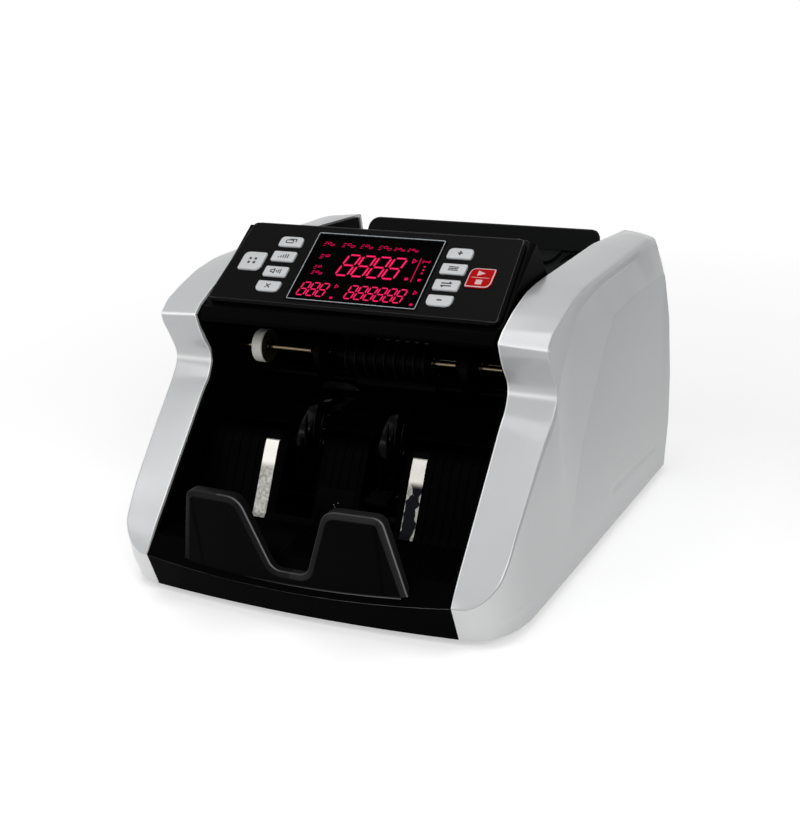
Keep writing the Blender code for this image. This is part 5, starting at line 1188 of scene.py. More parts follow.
@dataclass
class StackerTray:
    """Stacker floor, its wall and the rolled top edge, grooved from front to rear."""

    half: float = 92.6
    wall: float = 2.4
    pitch: float = 5.45
    groove_half: float = 0.42
    groove_depth: float = 0.6
    path: tuple[tuple[float, float], ...] = (
        (-133.3, 36.1), (-97.5, 38.2), (-94.5, 40.5), (-76.6, 72.6), (-73.6, 77.0), (-69.0, 79.6), (-64.0, 80.17))
    slot_centre: float = 26.3
    slot_half: float = 12.0
    slot_foot: float = 41.2

    def rail(self) -> np.ndarray:
        """Top line of the tray from front to rear with soft bends and a point at the foot of the slots.

        Returns:
            y and z of each point.
        """
        path = soft_corners(np.array(self.path), np.array([0, 2.0, 2.0, 2.5, 3.0, 3.0, 0]), 8)
        run = np.concatenate([[0], np.cumsum(np.linalg.norm(np.diff(path, axis=0), axis=1))])
        places = np.unique(np.concatenate([run, np.interp([self.slot_foot], path[:, 1], run)]))
        return np.stack([np.interp(places, run, path[:, i]) for i in range(2)], axis=1)

    def columns(self) -> tuple[np.ndarray, np.ndarray]:
        """Places across and how deep the surface lies there.

        Returns:
            Places in falling order and their depths.
        """
        right = np.arange(7) * self.pitch + 56.3
        grooves = np.concatenate([-(np.arange(6) * 6.2 + 56.5), np.arange(-2, 3) * self.pitch, right])
        step = np.array([-1.0, -0.75, -0.3, 0.3, 0.75, 1.0]) * self.groove_half
        deep = np.array([0, 0.25, 1, 1, 0.25, 0]) * self.groove_depth
        edges = np.array([s * (self.slot_centre + t * self.slot_half) for s in (-1, 1) for t in (-1, 1)]
                         + [-self.half, self.half])
        x = np.concatenate([(grooves[:, None] + step).ravel(), edges])
        depth = np.concatenate([np.tile(deep, len(grooves)), np.zeros(len(edges))])
        order = np.argsort(-x)
        return x[order], depth[order]

    def build(self, finishes: Finishes) -> None:
        """Makes the tray as a grid from which the wheel slots are left out, and its sensor.

        Args:
            finishes: The machine's materials.
        """
        rail = self.rail()
        x, depth = self.columns()
        tangent = np.gradient(rail, axis=0)
        tangent /= np.linalg.norm(tangent, axis=1, keepdims=True)
        normal = np.stack([-tangent[:, 1], tangent[:, 0]], axis=1)
        spots = rail[:, None] - normal[:, None] * depth[None, :, None]
        points = np.dstack([np.broadcast_to(x, spots.shape[:2]), spots])
        middle_x = (x[:-1] + x[1:]) / 2
        middle_z = (rail[:-1, 1] + rail[1:, 1]) / 2
        open_part = ((np.abs(np.abs(middle_x) - self.slot_centre) < self.slot_half)[None, :]
                     & (middle_z > self.slot_foot)[:, None])
        faces = grid_faces(*points.shape[:2])[~open_part.ravel()]
        made = make_object("stacker_tray_shell", points, faces.tolist(), tidy=False, sharp_deg=30)
        wall = made.modifiers.new("wall", "SOLIDIFY")
        wall.thickness = self.wall * MM
        wall.offset = -1
        dress(made, finishes.black, Slot.BODY, "machine", "stacker_tray")
        self.sensor(finishes)

    def sensor(self, finishes: Finishes) -> None:
        """Flush dark window in the wall with two small lenses.

        Args:
            finishes: The machine's materials.
        """
        up = np.array([0.0, 0.487, 0.873])
        out = np.array([0.0, -0.873, 0.487])
        foot = np.array([0.0, -88.53, 51.2])

        def place(points: np.ndarray) -> np.ndarray:
            """Turns places on the wall into the machine's."""
            return foot + points[..., :1] * np.array([1.0, 0, 0]) + points[..., 1:2] * up + points[..., 2:] * out

        window = slab("pocket_sensor_window", rounded_box(23.4, 18.0, (1.5,) * 4, (0, -1.6)),
                      [(0, -1.5), (0, 0.1), (0.1, 0.22), (0.4, 0.26)], place)
        dress(window, finishes.disc, Slot.GLASS, "machine", "pocket_sensor")
        angle = np.linspace(0, TURN, 20, endpoint=False)
        for number, (x, y, size) in enumerate(((1.6, -0.6, 0.5), (-0.9, -1.8, 0.45), (-0.2, -3.0, 0.35))):
            share = np.linspace(0, 1, 6)[:, None]
            ring = np.stack([x + size * np.cos(share * math.pi / 2) * np.cos(angle),
                             y + size * np.cos(share * math.pi / 2) * np.sin(angle),
                             0.24 + 0.4 * size * np.sin(share * math.pi / 2) + 0 * angle], axis=2)
            lens = surface(f"pocket_sensor_lens_{number}", place(ring), wrap_columns=True, cap=True)
            dress(lens, finishes.lens, Slot.GLASS, "machine")


@dataclass
class StackerWheels:
    """Two wheels of eight curved fins whose pointed tips trail, and the wells in which they turn."""

    radius: float = 32.9
    root: float = 10.0
    hub: float = 11.0
    bore: float = 4.3
    half: float = 4.4
    blades: int = 8
    tip_deg: float = 126.0
    length_deg: float = 104.0
    taper_deg: float = 46.0
    inner_power: float = 0.62
    outer_power: float = 1.15
    well: float = 35.2
    well_half: float = 12.1

    def fan(self, name: str, centre: np.ndarray) -> bpy.types.Object:
        """All blades of a wheel.

        A blade is a curved fin. At a share s of its length past its tip its inner bound is
        radius - (radius - root) s^inner_power and its outer bound the same with outer_power. Its sides run
        together towards the tip. Each section is a rounded rectangle between those bounds.

        Args:
            name: Name of the object.
            centre: Middle of the wheel.

        Returns:
            The blades in one mesh.
        """
        apart = 360 / self.blades
        past = (np.linspace(0.012, 1, 40) ** 1.5 * self.length_deg)[:, None]
        turn = np.linspace(0, TURN, 24, endpoint=False)[None]
        soft_c = np.sign(np.cos(turn)) * np.abs(np.cos(turn)) ** 0.3
        soft_s = np.sign(np.sin(turn)) * np.abs(np.sin(turn)) ** 0.3
        inner = self.radius - (self.radius - self.root) * (past / self.length_deg) ** self.inner_power
        outer = self.radius - (self.radius - self.root) * (past / self.length_deg) ** self.outer_power
        outer = np.maximum(outer, inner + 0.3)
        narrow = np.clip(past / self.taper_deg, 0, 1) ** 0.75
        left, right = -self.half * narrow + 2.4 * (1 - narrow), self.half * narrow + 2.9 * (1 - narrow)
        r = (inner + outer) / 2 + (outer - inner) / 2 * soft_c
        x = (left + right) / 2 + (right - left) / 2 * soft_s + 0 * r
        angle = np.radians((self.tip_deg + np.arange(self.blades) * apart)[:, None, None] + past)
        points = np.stack([centre[0] + x + 0 * angle, centre[1] + r * np.cos(angle),
                           centre[2] + r * np.sin(angle)], axis=-1)
        rows, columns = past.shape[0], turn.shape[1]
        one = grid_faces(rows, columns, wrap_columns=True)
        ring = np.arange(columns)
        faces = []
        for start in np.arange(self.blades) * rows * columns:
            faces += (one + start).tolist()
            faces += [(ring + start).tolist(), (ring + start + (rows - 1) * columns).tolist()]
        return make_object(name, points.reshape(-1, 3), faces, sharp_deg=40)

    def build(self, finishes: Finishes) -> None:
        """Makes blades and hub of both wheels and the black wells in which they turn.

        Args:
            finishes: The machine's materials.
        """
        for node in ("stacker_wheel_left", "stacker_wheel_right"):
            centre = middle(node)
            centre[1:] = middle("stacker_shaft")[1:]
            dress(self.fan(node + "_blades", centre), finishes.gloss, Slot.GLOSS, "stacker", node)
            low, high = centre[0] - self.half, centre[0] + self.half
            path = np.array([(low, self.bore), (low, 6.4), (low + 0.8, 6.8), (low + 0.8, 8.9), (low, 9.3),
                             (low, self.hub), (high, self.hub), (high, 9.3), (high - 0.8, 8.9), (high - 0.8, 6.8),
                             (high, 6.4), (high, self.bore)])
            path = soft_corners(path, 0.3, 4, closed=True)
            hub = lathe(node + "_hub", path, (0, centre[1], centre[2]), closed=True)
            dress(hub, finishes.gloss, Slot.GLOSS, "stacker")
            angle = np.radians(np.linspace(212, 352, 40))
            side = np.array([-1, -1, -1, 1, 1, 1]) * self.well_half + np.array([0, 0, 0.8, -0.8, 0, 0]) + centre[0]
            reach = self.well + np.array([-2.2, -0.5, 0, 0, -0.5, -2.2])
            sheet = np.stack([np.broadcast_to(side, (40, 6)), centre[1] + reach * np.cos(angle)[:, None],
                              centre[2] + reach * np.sin(angle)[:, None]], axis=2)
            well = surface(node + "_well", sheet, tidy=False)
            wall = well.modifiers.new("wall", "SOLIDIFY")
            wall.thickness = 0.8 * MM
            wall.offset = 1
            dress(well, finishes.disc, Slot.BODY, "machine")


@dataclass
class Keys:
    """Ten keys of the panel with plain marks."""

    plane: PanelPlane
    small_length: float = 8.4
    large_length: float = 14.6
    gap: float = 0.32
    proud: float = 0.9
    small_radius: float = 1.6
    big_radius: float = 4.5
    rows: tuple[float, ...] = (0.757, 0.572, 0.383, 0.203)
    large_row: float = 0.490
    mark_width: float = 0.85

    def table(self) -> list[tuple[str, float, float, tuple[float, ...]]]:
        """Where the keys lie and how they are shaped.

        Returns:
            Node, place up the slope, length and corner radii of each key.
        """
        s, b = self.small_radius, self.big_radius
        shapes = ((s, s, b, b), (s, s, s, s), (s, s, s, s), (b, b, s, s))
        left = ("key_currency", "key_value", "key_voice", "key_clear")
        right = ("key_plus", "key_mode", "key_auto", "key_minus")
        made = [(name, share * self.plane.length, self.small_length, shape)
                for names in (left, right) for name, share, shape in zip(names, self.rows, shapes)]
        large = (s, b, s, b)
        return made + [(name, self.large_row * self.plane.length, self.large_length, large)
                       for name in ("key_function", "key_start")]

    def marks(self) -> dict[str, list[tuple[float, float, float, float, float]]]:
        """Plain marks of the keys.

        Returns:
            Bars of each key's mark: start, end and width, from the key's middle.
        """
        t = self.mark_width
        sheet = [(-3.2, -1.3, 1.4, -1.3), (1.4, -1.3, 1.4, 0.9), (1.4, 0.9, -3.2, 0.9), (-3.2, 0.9, -3.2, -1.3),
                 (-1.6, 1.7, 3.2, 1.7), (3.2, 1.7, 3.2, -0.6)]
        bars = [(x, -1.5, x, -1.5 + h) for x, h in ((-3.0, 1.0), (-1.5, 1.7), (0.0, 2.4), (1.5, 3.0), (3.0, 3.0))]
        speaker = [(-3.4, -0.7, -3.4, 0.7), (-3.4, 0.7, -2.3, 0.7), (-3.4, -0.7, -2.3, -0.7),
                   (-2.3, 0.7, -0.8, 1.7), (-2.3, -0.7, -0.8, -1.7), (-0.8, -1.7, -0.8, 1.7),
                   (0.7, -0.8, 0.7, 0.8), (2.0, -1.3, 2.0, 1.3), (3.3, -1.8, 3.3, 1.8)]
        cross = [(-1.5, -1.5, 1.5, 1.5), (-1.5, 1.5, 1.5, -1.5)]
        levels = [(-3.0, 1.2, 3.0, 1.2), (-3.0, 0.0, 3.0, 0.0), (-3.0, -1.2, 3.0, -1.2),
                  (-1.2, 0.75, -1.2, 1.65), (1.4, -0.45, 1.4, 0.45), (-0.4, -1.65, -0.4, -0.75)]
        swap = [(-3.2, 0.9, 3.0, 0.9), (1.6, 2.0, 3.0, 0.9), (3.2, -0.9, -3.0, -0.9), (-1.6, -2.0, -3.0, -0.9)]
        squares = [(x, y, x + 1.6, y) for x in (-2.6, 1.0) for y in (-1.5, 1.5)]
        made = {"key_currency": (sheet, t * 0.8), "key_value": (bars, 0.7), "key_voice": (speaker, t * 0.8),
                "key_clear": (cross, 0.7), "key_plus": ([(-1.5, 0, 1.5, 0), (0, -1.5, 0, 1.5)], 1.0),
                "key_mode": (levels, t * 0.8), "key_auto": (swap, t), "key_minus": ([(-1.5, 0, 1.5, 0)], 1.0),
                "key_function": (squares, 1.7)}
        return {name: [(*line, width) for line in lines] for name, (lines, width) in made.items()}

    def build(self, finishes: Finishes) -> None:
        """Makes the caps, their marks and the red key's pale border.

        Args:
            finishes: The machine's materials.
        """
        marks = self.marks()
        for name, u, length, radii in self.table():
            red = name == "key_start"
            low, high = span(name, 0)
            width = high - low - 1.0
            centre = np.array([(low + high) / 2, u])
            outline = rounded_box(width, length, radii, centre)
            face = self.gap + 0.05
            top = self.proud
            levels = [(-0.5, -4.3), (-0.5, -3.35), (face, -3.3), (face, top - 0.55), (face + 0.08, top - 0.25),
                      (face + 0.3, top - 0.06), (face + 0.62, top)]
            cap = slab(name + "_cap", outline, levels, self.plane.place)
            dress(cap, finishes.red_key if red else finishes.key, Slot.RED_KEY if red else Slot.KEY,
                  BODY_OF[name], name)
            if red:
                self.start_marks(centre, width, length, radii, finishes)
                continue
            lines = np.array(marks[name])
            lines[:, [0, 2]] += centre[0]
            lines[:, [1, 3]] += centre[1]
            printed = strokes(name + "_mark", lines, top - 0.02, top + 0.05, self.plane.place)
            dress(printed, finishes.key_print, Slot.KEY, BODY_OF[name])

    def start_marks(self, centre: np.ndarray, width: float, length: float, radii: tuple[float, ...],
                    finishes: Finishes) -> None:
        """Pale border, triangle, dividing line and square on the red key.

        Args:
            centre: Middle of the key on the panel.
            width: Width of the key's opening.
            length: Length of the key's opening.
            radii: Corner radii.
            finishes: The machine's materials.
        """
        x, y = centre
        top = self.proud
        levels = ((0.42, top - 0.28), (0.36, top - 0.1), (0.62, top + 0.05), (1.02, top + 0.06), (1.02, top - 0.28))
        border = slab("key_start_border", rounded_box(width, length, radii, centre), levels, self.plane.place,
                      frame=True)
        dress(border, finishes.pale_print, Slot.RED_KEY, "key_start")
        lines = [(x - 5.2, y, x + 5.2, y, 0.35)]
        lines += [(x - 2.2 + i * 0.62, y + 1.4 + i * 0.26, x - 2.2 + i * 0.62, y + 5.0 - i * 0.26, 0.64)
                  for i in range(7)]
        lines += [(x - 1.9, y - 3.2, x + 1.9, y - 3.2, 3.4)]
        printed = strokes("key_start_mark", np.array(lines), top - 0.02, top + 0.05, self.plane.place)
        dress(printed, finishes.pale_print, Slot.RED_KEY, "key_start")


@dataclass
class Display:
    """Black window with its thin frame and the lit figures behind it."""

    plane: PanelPlane
    slant: float = 0.2
    frame_top: float = 0.45
    core_share: float = 0.22
    # Left edge, foot and height of the row, number of figures, pitch, width and stroke of a figure
    figures: tuple[tuple[float, ...], ...] = (
        (-17.2, 25.9, 15.9, 4, 9.8, 7.5, 1.35),
        (-35.6, 8.9, 9.8, 3, 6.1, 4.6, 0.95),
        (-5.0, 9.0, 9.8, 6, 6.1, 4.6, 0.95),
    )
    # Left, foot, height, number of small figures, pitch, width and stroke
    words: tuple[tuple[float, ...], ...] = (
        (-34.4, 47.8, 2.7, 3, 2.6, 1.8, 0.3),
        (-22.0, 47.7, 2.7, 3, 3.0, 2.1, 0.3),
        (-10.2, 47.6, 2.7, 3, 3.0, 2.1, 0.3),
        (1.4, 47.5, 2.7, 3, 3.1, 2.2, 0.3),
        (11.8, 47.6, 2.0, 3, 2.4, 1.6, 0.32),
        (20.2, 47.6, 2.0, 3, 2.5, 1.7, 0.32),
        (-32.8, 37.8, 2.8, 2, 3.4, 2.4, 0.4),
        (-33.0, 29.6, 2.3, 2, 2.6, 1.8, 0.34),
        (-33.0, 25.4, 2.3, 3, 2.6, 1.8, 0.34),
    )
    # Bars of the small figures, in turn: three level bars, an upper ring and a lower ring
    word_shapes: tuple[tuple[int, ...], ...] = ((0, 1, 2), (1, 2, 5, 6), (0, 1, 3, 4))
    # Place and size of the plain triangles and blocks behind the figures
    triangles: tuple[tuple[float, float, float], ...] = ((26.4, 39.0, 3.2), (-13.5, 16.0, 2.7), (35.8, 16.0, 2.7))
    blocks: tuple[tuple[float, float, float], ...] = ((26.6, 25.7, 3.0), (-13.4, 7.6, 2.5), (36.7, 7.6, 2.5))

    def row_lines(self, left: float, foot: float, tall: float, count: int, pitch: float, wide: float,
                  stroke: float, shapes: Sequence[Sequence[int]] = (tuple(range(7)),)) -> np.ndarray:
        """Bars of a row of seven-bar figures.

        Args:
            left: Place of the first figure's lower left corner.
            foot: Foot of the row.
            tall: Height of a figure.
            count: How many figures.
            pitch: Distance between them.
            wide: Width of a figure.
            stroke: Width of a bar.
            shapes: Which of the seven bars each figure has, in turn.

        Returns:
            Bars as strokes takes them.
        """
        gap = stroke * 0.45
        half = tall / 2
        one = np.array([(gap, 0, wide - gap, 0), (gap, half, wide - gap, half), (gap, tall, wide - gap, tall),
                        (0, gap, 0, half - gap), (wide, gap, wide, half - gap),
                        (0, half + gap, 0, tall - gap), (wide, half + gap, wide, tall - gap)])
        shift = np.arange(int(count))[:, None, None] * np.array([pitch, 0, pitch, 0])
        used = np.concatenate([np.array(shapes[i % len(shapes)]) + 7 * i for i in range(int(count))])
        lines = (one[None] + shift).reshape(-1, 4)[used] + np.array([left, foot, left, foot])
        lines[:, 0] += (lines[:, 1] - foot) * self.slant
        lines[:, 2] += (lines[:, 3] - foot) * self.slant
        return np.column_stack([lines, np.full(len(lines), stroke)])

    def build(self, finishes: Finishes) -> None:
        """Makes the window's frame, the lit figures and the small signs.

        Args:
            finishes: The machine's materials.
        """
        finish_node("display_window", finishes.window)
        moulding("display_bezel", finishes.panel, Slot.BEZEL, 0.25)
        low, high = span("display_bezel", 0)
        front, rear = span("display_bezel", 1)
        slope = math.cos(math.radians(self.plane.tilt_deg))
        middle_u = (middle("display_bezel")[1] - self.plane.foot_y) / slope
        outline = rounded_box(high - low - 1.5, (rear - front) / slope - 1.7, (1.2,) * 4,
                              ((low + high) / 2, middle_u))
        top = self.frame_top
        levels = ((0, top - 0.3), (0.06, top), (0.4, top), (0.46, top - 0.3))
        line = slab("display_frame_line", outline, levels, self.plane.place, frame=True)
        dress(line, finishes.bezel, Slot.BEZEL, "machine")
        finish_node("display_module", finishes.unit)
        rows = [self.row_lines(*row) for row in self.figures]
        lit = strokes("display_figures", np.vstack(rows), 0.02, 0.06, self.plane.place, pointed=True)
        dress(lit, finishes.lit, Slot.GLASS, "machine")
        core = np.vstack(rows)
        core[:, 4] *= self.core_share
        core = strokes("display_figure_cores", core, 0.06, 0.08, self.plane.place, pointed=True)
        dress(core, finishes.lit_core, Slot.GLASS, "machine")
        small = [self.row_lines(*row, self.word_shapes) for row in self.words]
        bar = np.array([(31.0, 25.0, 31.1, 43.1, 0.45)])
        wave = np.array([(33.2, 39.6, 33.2, 41.8, 0.4), (34.1, 40.2, 34.1, 41.2, 0.4), (34.8, 40.7, 35.6, 40.7, 0.8),
                         (36.2, 40.2, 36.2, 41.2, 0.4), (37.1, 39.6, 37.1, 41.8, 0.4), (34.9, 36.9, 35.9, 36.9, 1.2),
                         (34.9, 34.4, 35.9, 34.4, 1.2), (34.9, 31.9, 35.9, 31.9, 1.2),
                         (34.8, 26.8, 36.6, 26.8, 1.7)])
        triangle = np.array([(0.1, 0, 0.8, 0.5, 0.15), (0.8, 0.5, 0.1, 1, 0.15), (0.1, 1, 0.1, 0, 0.15)])
        block = np.array([(0, 0.4, 0.7, 0.4, 0.6)])
        ticks = np.concatenate([mark * size + (x, u, x, u, 0)
                                for mark, spots in ((triangle, self.triangles), (block, self.blocks))
                                for x, u, size in spots])
        signs = strokes("display_signs", np.vstack(small + [bar, wave, ticks]), 0.02, 0.05, self.plane.place)
        dress(signs, finishes.lit, Slot.GLASS, "machine")


@dataclass
class Hopper:
    """Raised plate and comb on the hopper floor, and two thin black sheets on it that paint the shade of slots."""

    foot_y: float = 14.05
    foot_z: float = 120.02
    rise: float = 29.48
    run: float = 107.95

    def place(self, points: np.ndarray) -> np.ndarray:
        """Turns places on the floor into the machine's.

        Args:
            points: x, y along the machine and height over the floor in the last axis.

        Returns:
            x, y and z in the last axis.
        """
        slope = self.rise / self.run
        size = math.hypot(1, slope)
        x, y, w = points[..., 0], points[..., 1], points[..., 2]
        return np.stack([x, y - w * slope / size, self.foot_z + (y - self.foot_y) * slope + w / size], axis=-1)

    def build(self, finishes: Finishes) -> None:
        """Makes the details.

        Args:
            finishes: The machine's materials.
        """
        outline = np.array([(-54.0, 104.0), (54.5, 104.0), (57.6, 108.5), (59.6, 118.6), (-56.5, 118.6)])
        outline = soft_corners(outline, 2.0, 5, closed=True)
        plate = slab("hopper_raised_plate", outline, [(0, 0.05), (0, 1.4), (0.25, 1.85), (0.8, 2.0)], self.place)
        dress(plate, finishes.hopper, Slot.BODY, "machine")
        # Each slot is a thin black sheet on the floor: painted shade where an opening would be dark
        for side in (-1, 1):
            edge = np.array([(61.4, 105.7), (69.8, 115.5), (68.6, 119.5), (63.4, 115.5)])
            edge[:, 0] *= side
            edge = edge[::side]
            pocket = slab(f"hopper_slot_shade_{'left' if side < 0 else 'right'}", soft_corners(edge, 0.8, 4, closed=True),
                          [(0, 0.03), (0, 0.12), (0.1, 0.16)], self.place)
            dress(pocket, finishes.disc, Slot.BODY, "machine")
        x = np.arange(-76.5, 77, 3.0)
        teeth = np.column_stack([x, np.full_like(x, 119.6), x, np.full_like(x, 121.6), np.full_like(x, 1.5)])
        comb = strokes("hopper_comb", teeth, 0.02, 1.1, self.place)
        dress(comb, finishes.hopper, Slot.BODY, "machine")


@dataclass
class Rollers:
    """Transport, pinch and feed shafts with what turns on them."""

    ring_edge: float = 0.5
    shaft_radius: float = 2.9
    neck_radius: float = 2.2
    bore: float = 3.3
    # Places between which the transport shaft is turned down to a neck
    necks: tuple[tuple[float, float], ...] = ((-69, -40), (-27, -20), (39.5, 54), (69, 88))
    # Start, end and radius of each sleeve on it
    sleeves: tuple[tuple[float, float, float], ...] = (
        (-38.5, -33.8, 5.2), (-33.8, -26.6, 6.4), (-20.6, -12.4, 5.0), (55.0, 60.0, 5.4), (60.0, 67.0, 6.2))

    def rod(self, node: str, steps: list[tuple[float, float]], finish: bpy.types.Material, slot: Slot,
            edge: float = 0.4) -> bpy.types.Object:
        """A shaft turned to steps of place and radius, with its ends closed.

        Args:
            node: CAD node.
            steps: Place along X and radius.
            finish: Material.
            slot: The record's slot.
            edge: Radius of its corners.

        Returns:
            The shaft.
        """
        path = np.array([(steps[0][0], 0.0), *steps, (steps[-1][0], 0.0)])
        centre = middle(node)
        made = lathe(node + "_turned", soft_corners(path, edge, 4), (0, centre[1], centre[2]))
        return dress(made, finish, slot, BODY_OF[node], node)

    def ring(self, node: str, outer: list[tuple[float, float]], bore: float, finish: bpy.types.Material,
             slot: Slot, edge: float | None = None) -> bpy.types.Object:
        """A ring with a bore, from its outer steps of place and radius.

        Args:
            node: CAD node.
            outer: Place along X and radius, left to right.
            bore: Radius of the bore.
            finish: Material.
            slot: The record's slot.
            edge: Radius of its corners.

        Returns:
            The ring.
        """
        path = np.array([(outer[0][0], bore), *outer, (outer[-1][0], bore)])
        centre = middle(node)
        profile = soft_corners(path, self.ring_edge if edge is None else edge, 5, closed=True)
        made = lathe(node + "_turned", profile, (0, centre[1], centre[2]), closed=True)
        return dress(made, finish, slot, BODY_OF[node], node)

    def collar(self, name: str, steps: list[tuple[float, float]], finish: bpy.types.Material, slot: Slot) -> None:
        """A plain ring on the transport shaft, besides the CAD nodes.

        Args:
            name: Name of the object.
            steps: Place along X and radius of each corner of its section.
            finish: Material.
            slot: The record's slot.
        """
        made = lathe(name, np.array(steps), (0, *middle("idler_wheel")[1:]), closed=True)
        dress(made, finish, slot, "transport")

    def build(self, finishes: Finishes) -> None:
        """Makes the shafts, rollers, wheels and discs.

        Args:
            finishes: The machine's materials.
        """
        low, high = span("idler_wheel", 0)
        self.ring("idler_wheel", [(low, 5.2), (low + 0.7, 5.4), (low + 0.7, 8.6), (low, 8.9), (low, 9.9),
                                  (high, 9.9), (high, 8.3), (high - 1.6, 8.0), (high - 1.6, 5.4)],
                  self.bore, finishes.nylon, Slot.NYLON, 0.45)
        # A dark olive rim and cheek over the idler's right face: painted shade
        self.collar("idler_wheel_shade_rim", [(high - 0.6, 6.8), (high + 0.06, 7.0), (high + 0.06, 9.8),
                                        (high - 0.6, 9.93)], finishes.idler_face_shade, Slot.NYLON)
        self.collar("idler_wheel_shade_cheek", [(high - 1.6, 3.3), (high - 0.9, 3.3), (high - 1.2, 8.1),
                                          (high - 1.6, 8.1)], finishes.idler_face_shade, Slot.NYLON)
        for node in ("side_roller_left", "side_roller_right"):
            low, high = span(node, 0)
            self.ring(node, [(low, 15.6), (low + 0.5, 16.0), (high - 0.5, 16.0), (high, 15.6)], self.bore,
                      finishes.disc, Slot.GLOSS, 0.5)
        for number, (low, high, radius) in enumerate(self.sleeves):
            self.collar(f"transport_sleeve_{number}",
                        [(low, 3.2), (low, radius - 0.4), (low + 0.4, radius), (high - 0.4, radius),
                         (high, radius - 0.4), (high, 3.2)], finishes.disc, Slot.GLOSS)
        low, high = span("transport_roller", 0)
        self.ring("transport_roller", ribs(low, high, 12.0, 1.1, 9), self.bore, finishes.disc, Slot.RUBBER, 0.2)
        # The fins take the lighter hopper finish: a painted highlight on the roller's ribs
        for number, place in enumerate(np.linspace(low, high - 1.5, 9) + 0.75):
            self.collar(f"transport_fin_{number}", [(place - 0.25, 11.5), (place - 0.2, 12.15), (place + 0.2, 12.15),
                                                    (place + 0.25, 11.5)], finishes.hopper, Slot.RUBBER)
        for node in ("feed_roller_left", "feed_roller_right"):
            low, high = span(node, 0)
            self.ring(node, ribs(low + 0.2, high - 0.2, 14.7, 0.5, 6), 4.3, finishes.rubber, Slot.RUBBER, 0.2)
        low, high = span("transport_shaft", 0)
        full, neck = self.shaft_radius, self.neck_radius
        turned = [step for start, end in self.necks
                  for step in ((start, full), (start, neck), (end, neck), (end, full))]
        self.rod("transport_shaft", [(low, full), *turned, (high, full)], finishes.shaft, Slot.SHAFT, 0.15)
        # The pinch and stacker shafts take the dull black finish: painted shade on steel shafts that lie in the dark
        for node, finish, slot in (("pinch_shaft", finishes.disc, Slot.SHAFT),
                                   ("stacker_shaft", finishes.disc, Slot.SHAFT),
                                   ("feed_shaft", finishes.shaft, Slot.SHAFT),
                                   ("transport_pulley", finishes.drive, Slot.DRIVE),
                                   ("motor_pulley", finishes.drive, Slot.DRIVE)):
            finish_node(node, finish)


def ribs(low: float, high: float, radius: float, deep: float, count: int) -> list[tuple[float, float]]:
    """Steps of a sleeve with grooves between its ribs.

    Args:
        low: Left end.
        high: Right end.
        radius: Radius of the ribs.
        deep: Depth of the grooves.
        count: Number of ribs.

    Returns:
        Place and radius of each step.
    """
    pitch = (high - low) / (count + (count - 1) * 3.2)
    steps = []
    for i in range(count):
        start = low + i * pitch * 4.2
        steps += [(start, radius), (start + pitch, radius)]
        if i < count - 1:
            steps += [(start + pitch, radius - deep), (start + 4.2 * pitch, radius - deep)]
    return steps


